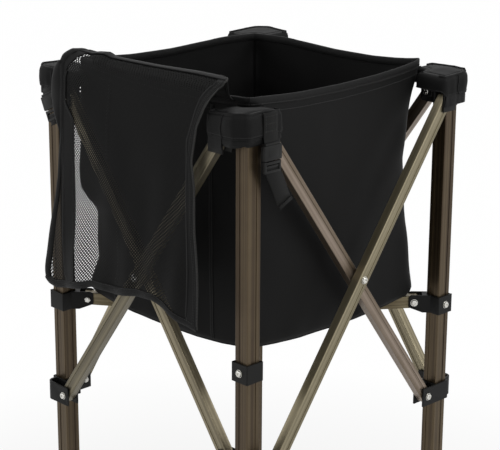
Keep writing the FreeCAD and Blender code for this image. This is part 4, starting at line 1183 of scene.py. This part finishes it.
for turns, corner in enumerate(cornerNames):
    matrix = cornerMatrix(turns)
    seed = 3.7 * turns
    sides, cap, rows = pocketParts(corner, seed)
    cover = thickened(meshPiece(f"cornerPocket_{corner}", [moved(sides, matrix), moved(cap, matrix)], bagCloth, 65),
                      pocket["thickness"] * mm)
    placed(cover, f"{corner}_leg", [f"corner_pocket_{corner}"])
    parts, threads = [], []
    hemLine = ringLine(rows, 0, -0.6)
    normals = np.array([(n[0], n[1], 0) for n in ringOut])
    parts.append(sweep(hemLine + np.array((0, 0, 0.6 * mm)), normals, tubeProfile(pocket["hemTube"] * mm), closed=True))
    # below the hem, strips of the darkest tape stand for the inner layer tucked under it: real cloth, drawn black as
    # painted shade in the recess
    for ends, tall, lift in ((pocket["stripEnds"], pocket["strip"][corner], -1.55),
                             (pocket["sideShadeStripEnds"], pocket["sideShadeStrip"], -0.7)):
        under = alongSide(*ends)
        below = ringLine(rows, 0, lift)[under] - np.array((0, 0, (tall / 2 - 1) * mm))
        parts.append(sweep(below, normals[under], stripProfile(1.0 * mm, tall * mm)))
    for place, bend in pocket["seams"]:
        line, lineNormals = seamUp(rows, place, bend)
        parts.append(sweep(line, lineNormals, tubeProfile(pocket["seamTube"] * mm, 6)))
    shoulder = ringLine(rows, len(rows) - 3, 0.1)
    outer = alongSide(*pocket["tapeEnds"])
    tape = stripProfile(*(v * mm for v in pocket["shoulderTape"]))
    parts.append(sweep(shoulder[outer], normals[outer], tape))
    threads.append((shoulder - np.array((0, 0, 3.4 * mm)))[outer] + normals[outer] * 0.2 * mm)
    threads.append((ringLine(rows, 2, 0.25))[outer])
    trim = meshPiece(f"pocketBinding_{corner}", [moved(p, matrix) for p in parts], bindingTape, 50)
    placed(trim, f"{corner}_leg")
    thread = stitches(f"pocketStitching_{corner}", [[matrix @ Vector(p) for p in line] for line in threads])
    placed(thread, f"{corner}_leg")
print("corner pockets ready")


# Straps: webbing sewn to the pocket, a closed side release buckle, and the loose end below it

strap = {
    "width": 26, "thickness": 1.7, "buckleWidth": 32, "buckleTop": 836, "buckleFoot": 796, "tailTop": 806,
    "hungFrom": 845, "crossStitches": (852, 862, 872), "stitchInset": 0.36,
    "sewn": [(-0.2, 876.5), (0.5, 873), (0.9, 866), (0.9, 850), (1.4, 842), (2.6, 837), (3.2, 830)],
    "tucked": [(-1.0, 849), (-0.6, 845), (1.4, 840), (3.2, 830)],
    "tail": [(3.4, 0, 0), (4.2, 0.08, 0.17), (4.6, 0.3, 0.37), (3.6, 0.6, 0.64), (2.4, 0.85, 0.86), (2.2, 1, 1)],
}
strapPlaces = {  # the right one hangs plumb on the cart's right side, the left one is pulled aside
    "front_right": {"out": 20.9, "centre": 19, "drift": 27, "tailFoot": 747, "lean": 0, "tucked": False},
    "front_left": {"out": 19.4, "centre": -1, "drift": 0, "tailFoot": 790, "lean": 25, "tucked": True},
}


def smoothPath(points, steps):
    # a Catmull-Rom line through the points
    points = [np.array(p, float) for p in points]
    line = []
    for i in range(len(points) - 1):
        a, b, c, d = (points[min(max(i + k, 0), len(points) - 1)] for k in (-1, 0, 1, 2))
        for k in range(steps):
            t = k / steps
            line.append(0.5 * (2 * b + (c - a) * t + (2 * a - 5 * b + 4 * c - d) * t * t
                               + (3 * b - 3 * c + d - a) * t ** 3))
    return line + [points[-1]]


def strapParts(out, centre, drift, tailFoot, tucked):
    # on a side at distance out from the leg's axis, running down at centre; drift moves the tail's end,
    # and a tucked strap comes out from under the pocket's hem instead of being sewn on over it
    t = strap["thickness"] / 2

    def ribbon(points):
        return sweep(np.array(points) * mm, (1, 0, 0), stripProfile(2 * t * mm, strap["width"] * mm, 0.5 * mm))

    def block(size, place, bevel):
        return blockPart([v * mm for v in size], [v * mm for v in place], bevel * mm)

    path = [(out + rise, centre, height) for rise, height in strap["tucked" if tucked else "sewn"]]
    tailTop = strap["tailTop"]
    tail = smoothPath([(out + rise, centre + drift * share, tailTop + (tailFoot - tailTop) * down)
                       for rise, share, down in strap["tail"]], 6)
    turnedUp = np.array(tail)[-5:] + np.array((t * 2 + 0.2, 0, 0))
    webbing = [ribbon(points) for points in (smoothPath(path, 5), tail, turnedUp)]
    inset, first, last = strap["stitchInset"], strap["crossStitches"][0], strap["crossStitches"][-1]
    outside = (out + 0.9 + t + 0.15) * mm
    threads = [[(outside, (centre + strap["width"] * shift) * mm, z * mm)
                for z in np.linspace(last, first, 12)] for shift in (-inset, inset)]
    threads += [[(outside, (centre + strap["width"] * shift) * mm, z * mm)
                 for shift in np.linspace(-inset, inset, 10)] for z in strap["crossStitches"]]
    w = strap["buckleWidth"]
    x = out + 3.6
    top, foot = strap["buckleTop"], strap["buckleFoot"]
    buckle = [
        block((6.6, w, 21), (x, centre, top - 12.5), 1.6),
        block((5.2, w - 5, 3.2), (x, centre, top - 0.6), 1.2),
        block((7.2, w - 14, 12), (x + 0.2, centre, top - 13), 1.4),
        block((5.0, 3.6, 13), (x + 0.2, centre - w / 2 + 1.2, top - 15), 1.5),
        block((5.0, 3.6, 13), (x + 0.2, centre + w / 2 - 1.2, top - 15), 1.5),
        block((5.4, w - 3, 4.2), (x, centre, top - 26.3), 1.2),
        block((5.4, 3.4, 16), (x, centre - w / 2 + 2.8, foot + 8.2), 1.3),
        block((5.4, 3.4, 16), (x, centre + w / 2 - 2.8, foot + 8.2), 1.3),
        block((4.0, w - 6, 3.4), (x - 0.4, centre, foot + 8.5), 1.2),
        block((5.4, w - 3, 4.0), (x, centre, foot + 2), 1.4),
    ]
    return webbing, buckle, threads


for corner, hung in strapPlaces.items():
    matrix = cornerMatrix(cornerNames.index(corner))
    webbing, buckle, threads = strapParts(*(hung[key] for key in ("out", "centre", "drift", "tailFoot", "tucked")))
    sewn = Vector((0, hung["centre"] * mm, strap["hungFrom"] * mm))
    leaning = Matrix.Rotation(math.radians(hung["lean"]), 4, "X")
    swing = Matrix.Translation(sewn) @ leaning @ Matrix.Translation(-sewn)
    webbing, buckle = ([moved(p, swing) for p in parts] for parts in (webbing, buckle))
    threads = [[swing @ Vector(p) for p in line] for line in threads]
    strapPiece = meshPiece(f"strapWebbing_{corner}", [moved(p, matrix) for p in webbing], strapWebbing, 50)
    placed(strapPiece, f"{corner}_leg")
    bucklePiece = meshPiece(f"sideBuckle_{corner}", [moved(p, matrix) for p in buckle], bucklePlastic, 35)
    placed(bucklePiece, f"{corner}_leg")
    if not hung["tucked"]:
        thread = stitches(f"strapStitching_{corner}", [[matrix @ Vector(p) for p in line] for line in threads])
        placed(thread, f"{corner}_leg")
print("straps ready")


# Lid: a net panel hinged on its hem and folded out over the front, bound all round, zip on the right

lid = {
    "crest": [(0, -212, 912), (8, -220, 915.5), (18, -230, 914), (30, -238, 906), (43, -242, 893)],
    "rise": [(-110, -4), (-88, -4.6), (-78, -1.9), (-61, 0.8), (-46, -3.1), (-20, -2.5), (45, -0.4), (129, 4.5),
             (175, 5)],
    "left": [(0, -108), (15, -126), (27, -136), (40, -140), (97, -141), (153, -141.7), (183, -146.3), (213, -150.2),
             (247, -157.2), (272, -164.3), (304, -172.9), (327, -178.8), (351, -185.8), (362, -187.8), (373, -186),
             (382, -181)],
    "right": [(0, 172), (12, 186), (24, 188), (34, 178), (43, 170), (54, 161), (81, 147), (130, 137), (168, 143),
              (230, 142), (301, 146.5), (366, 149)],
    "bottom": [(-190, 567), (-186, 561), (-180, 556.5), (-162, 554), (-118, 564), (-91, 571.5), (-79, 576),
               (-27, 578), (17, 587), (55, 590), (85, 582), (111, 574), (149, 568)],
    "bandOut": [(0, -104), (30, -134), (43, -137), (98, -138), (181, -138.4), (266, -138.2), (329, -139.4),
                (372, -139.6)],
    "bandIn": [(0, -85), (15, -95), (30, -110), (43, -122), (60, -129), (96, -131), (108, -122),
               (118, -113), (128, -111.2), (176, -112.2), (218, -112.9), (290, -113.5), (322, -114.8), (366, -114.8)],
    "zipIn": [(0, 160), (12, 172), (24, 173), (34, 163), (43, 155), (60, 145), (105, 127.4), (222, 127.2), (359, 127)],
    "crestRoll": [(-106, 6.5), (-90, 6.5), (-62, 5.2), (-50, 4.2), (150, 4.2), (171, 5.0)],
    "leftRoll": [(0, 6.0), (20, 6.5), (45, 6.0), (110, 5.0), (150, 4.2), (212, 3.7), (272, 5.0), (304, 5.8),
                 (330, 6.2), (374, 6.0)],
    "footRoll": [(-186, 6.0), (-170, 6.2), (-80, 5.2), (-20, 6.2), (60, 5.0), (148, 4.2)],
    "turn": 43, "turnHeight": 893, "footEnds": (-188, 149), "foldDepth": 2.6, "foldFrom": 25, "foldOver": 230,
    "netSize": (330, 362), "pitch": 3.7, "yarn": 0.52,
}


def lidSurface(x, t, lift=0.0):
    # x across, t down the cloth from the hinge; lift stands off its outer face
    x, t = np.broadcast_arrays(np.asarray(x, float), np.asarray(t, float))
    crest = np.array(lid["crest"])
    down = np.maximum(t - lid["turn"], 0)
    y = np.interp(t, crest[:, 0], crest[:, 1])
    z = np.interp(t, crest[:, 0], crest[:, 2]) - down
    ahead, behind = t + 1.5, t - 1.5
    slopeY = np.interp(ahead, crest[:, 0], crest[:, 1]) - np.interp(behind, crest[:, 0], crest[:, 1])
    slopeZ = (np.interp(ahead, crest[:, 0], crest[:, 2]) - np.maximum(ahead - lid["turn"], 0)
              - np.interp(behind, crest[:, 0], crest[:, 2]) + np.maximum(behind - lid["turn"], 0))
    size = np.hypot(slopeY, slopeZ) + 1e-9
    outY, outZ = slopeZ / size, -slopeY / size
    # soft folds that grow towards the loose bottom edge
    slack = np.clip((down - lid["foldFrom"]) / lid["foldOver"], 0, 1)
    fold = (np.sin(x / 17.5 + z * 0.012 + 0.7) + 0.7 * np.sin(x / 8.3 - z * 0.021 + 1.9) * slack
            + 0.9 * np.sin(x / 33 + z * 0.03))
    y = y - slack * (lid["foldDepth"] * 0.9 + lid["foldDepth"] * 0.62 * fold)
    rise = table(lid["rise"], x) * np.clip(1 - t / 60, 0, 1)
    points = np.stack([x, y + outY * lift, z + outZ * lift + rise], -1) * mm
    return points, np.stack([0 * x, outY, outZ], -1)


def lidEdges(t):
    return table(lid["left"], t), table(lid["right"], t)


def bottomDown(x):
    return lid["turn"] + lid["turnHeight"] - table(lid["bottom"], x)


def netPoint(across, down):
    # across and down run from 0 to 1 over the net as it was cut
    left, right = lid["footEnds"]
    foot = bottomDown(left + (right - left) * across)
    t = down * foot
    first, last = lidEdges(t)
    return lidSurface(first + (last - first) * across, t)[0]


def netPart(width, length):
    # knotless net: a square strand crossing at each node, set out on the diagonal
    step, half = lid["pitch"], lid["yarn"] / 2
    count = int((width + length) / step / math.sqrt(2)) + 3
    m, n = np.meshgrid(np.arange(0, count), np.arange(-count, count), indexing="ij")
    across, down = (m - n) * step / math.sqrt(2), (m + n) * step / math.sqrt(2)
    keep = (across > 1.5) & (across < width - 1.5) & (down > 1.5) & (down < length - 1.5)
    index = -np.ones(m.shape, int)
    index[keep] = np.arange(keep.sum())
    places = []
    for dm, dn in ((-half, -half), (half, -half), (half, half), (-half, half)):
        places.append(netPoint(((m - n)[keep] + dm - dn) * step / math.sqrt(2) / width,
                               ((m + n)[keep] + dm + dn) * step / math.sqrt(2) / length))
    points = np.stack(places, 1).reshape(-1, 3)
    uvs = np.stack([across[keep], down[keep]], -1).repeat(4, 0) * mm
    faces = [(4 * i, 4 * i + 3, 4 * i + 2, 4 * i + 1) for i in range(keep.sum())]
    for (dm, dn), near, far in (((1, 0), (1, 2), (0, 3)), ((0, 1), (2, 3), (1, 0))):
        here = index[:index.shape[0] - dm, :index.shape[1] - dn]
        there = index[dm:, dn:]
        for a, b in zip(here[(here >= 0) & (there >= 0)], there[(here >= 0) & (there >= 0)]):
            faces.append((4 * a + near[0], 4 * a + near[1], 4 * b + far[1], 4 * b + far[0]))
    return points, faces, uvs


def lidBand(inner, outer, first, last, lift, rows=70, columns=7, endByX=False):
    # an opaque strip of cloth on the net's outer face, between two edges
    t = np.linspace(first, last, rows)
    near, far = table(inner, t), table(outer, t)
    share = np.linspace(0, 1, columns)
    x = near[:, None] + (far - near)[:, None] * share
    down = np.broadcast_to(t[:, None], x.shape)
    if endByX:
        down = np.minimum(down, bottomDown(x))
    points = lidSurface(x, down, lift)[0]
    uvs = np.stack([x, down], -1) * mm
    return grid(points, uvs=uvs, flip=bool(near[0] < far[0]))


def tapered(path, side, radii, steps=10, flat=1.0):
    # a closed roll of cloth whose size changes along it; flat squeezes it towards the surface
    part = sweep(path, side, tubeProfile(1.0, steps))
    rings = np.array(part[0]).reshape(len(path), steps, 3)
    centres = np.asarray(path)[:, None]
    outward = np.asarray(side)[:, None] / (np.linalg.norm(side, axis=1)[:, None, None] + 1e-12)
    radii = np.broadcast_to(np.asarray(radii, float), len(path))
    reach = (rings - centres) * radii[:, None, None] * mm
    reach -= outward * (reach * outward).sum(-1, keepdims=True) * (1 - flat)
    return (centres + reach).reshape(-1, 3), part[1], part[2]


def lidRoll(x, t, lift, radii, steps, flat):
    path, normals = lidSurface(x, t, lift)
    return tapered(path, normals, radii, steps, flat)


def lidTape(x, t, lift, width):
    path, normals = lidSurface(x, t, lift)
    return sweep(path, normals, stripProfile(0.8 * mm, width * mm))


def overCrest(*spans):
    # places down the cloth, closer together over the crest than below it
    return np.concatenate([np.linspace(*span) for span in spans])


def foldedWithLid(piece):
    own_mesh(piece)
    return piece


net = meshPiece("lidNet", [netPart(*lid["netSize"])], netYarn, 60)
placed(net, "lid", ["lid"])

bands = meshPiece("lidBands", [
    lidBand(lid["bandOut"], lid["bandIn"], 1, 372, 0.9, endByX=True),
    lidBand(lid["zipIn"], lid["right"], 1, 366, 0.9, endByX=True),
    lidBand(lid["left"], lid["right"], 1, 15, 2.0, 8, 60),
], bagCloth, 60)
thickened(bands, 1.0 * mm, 0)
placed(bands, "lid")

# rolled edges along the crest, the left side, the foot and the right side, then tapes on the bands
crestAcross, footAcross = np.linspace(-106, 171, 70), np.linspace(-186, 148, 90)
leftDown, rightDown = overCrest((0, 60, 24), (64, 374, 64)), overCrest((0, 60, 24), (64, 366, 60))
bandDown, zipDown = np.linspace(50, 360, 60), np.linspace(20, 352, 70)
leftRoll = table(lid["leftRoll"], leftDown)
bindings = meshPiece("lidBinding", [
    lidRoll(crestAcross, 4, 0.6, table(lid["crestRoll"], crestAcross), 10, 0.62),
    lidRoll(table(lid["left"], leftDown) + leftRoll * 0.6, leftDown, 0.4, leftRoll, 10, 0.55),
    lidRoll(footAcross, bottomDown(footAcross) - 3.5, 0.3, table(lid["footRoll"], footAcross), 10, 0.5),
    lidRoll(table(lid["right"], rightDown) - 1.6, rightDown, 0.5, 1.7, 8, 0.8),
    lidTape(table(lid["bandOut"], bandDown), bandDown, 1.2, 3.2),
    lidTape(table(lid["bandIn"], bandDown), bandDown, 1.2, 3.2),
    lidTape(table(lid["zipIn"], zipDown), zipDown, 1.3, 3.4),
], bindingTape, 50)
placed(bindings, "lid")

# the side gusset, folded out past the left seam at the height of the corner pocket
gusset = {
    "heights": [898, 885, 868, 850, 832, 818, 808, 800, 792],
    "outer": [-143, -154, -160, -162, -160, -156, -151, -147, -143],
    "inner": [-134, -134, -134, -135, -136, -137, -138, -139, -140],
}
rows = []
for z, out, near in zip(*(np.interp(np.linspace(0, 1, 34), np.linspace(0, 1, 9), gusset[key])
                          for key in ("heights", "outer", "inner"))):
    share = np.linspace(0, 1, 15)
    swell = np.sin(math.pi * share) ** 0.6
    wave = 1.2 * math.sin(z * 0.11)
    rows.append([(near + (out - near) * s, -243.2 - (3.4 + wave * s) * w, z) for s, w in zip(share, swell)]
                + [(near + (out - near) * s, -241.4 + 0.2 * w, z - 1) for s, w in zip(share[::-1], swell[::-1])])
flap = meshPiece("lidGusset", [grid(np.array(rows) * mm, closed=True, uvs=[
    [(p[0] * mm, p[2] * mm) for p in row] for row in rows])], bagCloth, 60)
work = bmesh.new()
work.from_mesh(flap.data)
bmesh.ops.holes_fill(work, edges=work.edges)
work.to_mesh(flap.data)
work.free()
welded(flap)
placed(flap, "lid")

rightDown, seamDown = overCrest((10, 60, 14), (66, 364, 60)), np.linspace(50, 360, 70)
edge, footAcross = table(lid["right"], rightDown), np.linspace(-176, 140, 90)
teeth = rowPiece("lidZipTeeth", [lidSurface(edge - 0.1, rightDown, 1.2)[0]],
                 toothTemplate, threadSizes["toothPitch"], zipNylonHighlighted)
placed(teeth, "lid")
thread = stitches("lidStitching", [lidSurface(x, t, lift)[0] for x, t, lift in (
    (edge - 5.5, rightDown, 1.75), (edge - 8.2, rightDown, 1.75),
    (table(lid["bandIn"], seamDown) - 2.6, seamDown, 1.75), (table(lid["bandOut"], seamDown) + 2.6, seamDown, 1.75),
    (footAcross, bottomDown(footAcross) - 8.5, 1.9))])
placed(thread, "lid")
for piece in (net, bands, bindings, flap, teeth, thread):
    foldedWithLid(piece)

# Hem: the cloth that carries the lid, from the bag's front rim up to the hinge
hem = {
    "foot": (-178.5, 879), "top": (-212, 911.5), "footEnds": (-126, 150), "topEnds": (-107, 171), "belly": 5,
    "rows": 22, "columns": 60, "height": 0.047,
}


def hemPoint(q, a):
    # q runs up the hem and a across it, both from 0 to 1
    ends = [hem["footEnds"][k] + (hem["topEnds"][k] - hem["footEnds"][k]) * q for k in (0, 1)]
    x = ends[0] + (ends[1] - ends[0]) * a
    wave = 1.6 * math.sin(x / 15 + 2 * q) + 1.5 * noise.noise(Vector((x * 0.03, q * 3, 1)))
    out = -hem["belly"] * math.sin(math.pi * q) + math.sin(math.pi * q) * wave
    y = hem["foot"][0] + (hem["top"][0] - hem["foot"][0]) * q + out * 0.7
    z = hem["foot"][1] + (hem["top"][1] - hem["foot"][1]) * q + out * 0.7 + table(lid["rise"], x) * q
    return (x, y, z)


upward = np.linspace(0, 1, hem["rows"])
rows = [[hemPoint(q, a) for a in np.linspace(0, 1, hem["columns"])] for q in upward]
apron = meshPiece("lidHem", [grid(np.array(rows) * mm, flip=True, uvs=[
    [(p[0] * mm, q * hem["height"]) for p in row] for q, row in zip(upward, rows)])], bagCloth, 60)
thickened(apron, 1.0 * mm, 0)
placed(apron, "front_right_leg", ["lid_hem"])
edges = [(rows[0], 1.6), (rows[-1], 1.6), ([row[0] for row in rows], 1.5), ([row[-1] for row in rows], 1.5)]
apronEdge = meshPiece("lidHemBinding", [
    sweep(np.array(line) * mm, (0, -0.7, 0.7), tubeProfile(radius * mm)) for line, radius in edges], bindingTape, 50)
placed(apronEdge, "front_right_leg")
for piece in (apron, apronEdge):
    softened(piece, 3)
for template in (stitchTemplate, toothTemplate):
    bpy.data.objects.remove(template)
print("lid ready")


# Studio: pale floor, white surroundings, one broad lamp from the right and a weak fill

studio = {
    "floor": "#e9e9e7", "floorReach": 40, "nearGlow": 0.72, "farGlow": 0.995, "near": 0.35, "far": 1.0,
    "world": 0.34, "white": 1.0, "aim": (0, 0, 0.55),
    "lamps": [((3.0, 0.9, 2.6), 2.4, 50), ((-1.5, -2.7, 2.0), 2.4, 20), ((0.2, 0.6, 3.6), 2.0, 22)],
}


def backgroundRays(tree):
    rays = addNode(tree, "ShaderNodeLightPath").outputs
    direct = addMath(tree, "ADD", rays["Is Camera Ray"], rays["Is Glossy Ray"])
    return addMath(tree, "ADD", direct, rays["Is Transmission Ray"], use_clamp=True)


world = bpy.data.worlds.new("studioWorld")
world.use_nodes = True
bpy.context.scene.world = world
tree = world.node_tree
shade = addRange(tree, backgroundRays(tree), low=studio["world"], high=studio["white"])
tree.links.new(shade, tree.nodes["Background"].inputs["Strength"])
tree.nodes["Background"].inputs["Color"].default_value = (1, 1, 1, 1)

floorMaterial = bpy.data.materials.new("paleFloor")
floorMaterial.use_nodes = True
tree = floorMaterial.node_tree
tree.nodes.remove(tree.nodes["Principled BSDF"])
matt = addNode(tree, "ShaderNodeBsdfDiffuse", {"Color": linearColour(studio["floor"])})
glow = addNode(tree, "ShaderNodeEmission", {"Color": (1, 1, 1, 1), "Strength": 1.0})
place = addNode(tree, "ShaderNodeTexCoord")
away = addNode(tree, "ShaderNodeVectorMath", {0: place.outputs["Object"]}, operation="LENGTH")
spread = addRange(tree, away.outputs["Value"], studio["near"], studio["far"], studio["nearGlow"], studio["farGlow"])
amount = addMath(tree, "MULTIPLY", backgroundRays(tree), spread)
mixed = addNode(tree, "ShaderNodeMixShader", {0: amount, 1: matt.outputs["BSDF"], 2: glow.outputs["Emission"]})
tree.links.new(mixed.outputs["Shader"], tree.nodes["Material Output"].inputs["Surface"])
floorMesh = bpy.data.meshes.new("paleFloor")
reach = studio["floorReach"]
floorMesh.from_pydata([(-reach, -reach, 0), (reach, -reach, 0), (reach, reach, 0), (-reach, reach, 0)], [],
                      [(0, 1, 2, 3)])
floorMesh.materials.append(floorMaterial)
newObject("paleFloor", floorMesh)
for index, (place, width, power) in enumerate(studio["lamps"]):
    lamp = bpy.data.lights.new(f"softLamp{index}", "AREA")
    lamp.shape = "DISK"
    lamp.size = width
    lamp.energy = power
    holder = newObject(f"softLamp{index}", lamp)
    holder.location = place
    holder.rotation_euler = (Vector(studio["aim"]) - Vector(place)).to_track_quat("-Z", "Y").to_euler()
bpy.context.scene.view_settings.view_transform = "Standard"
print("studio ready")
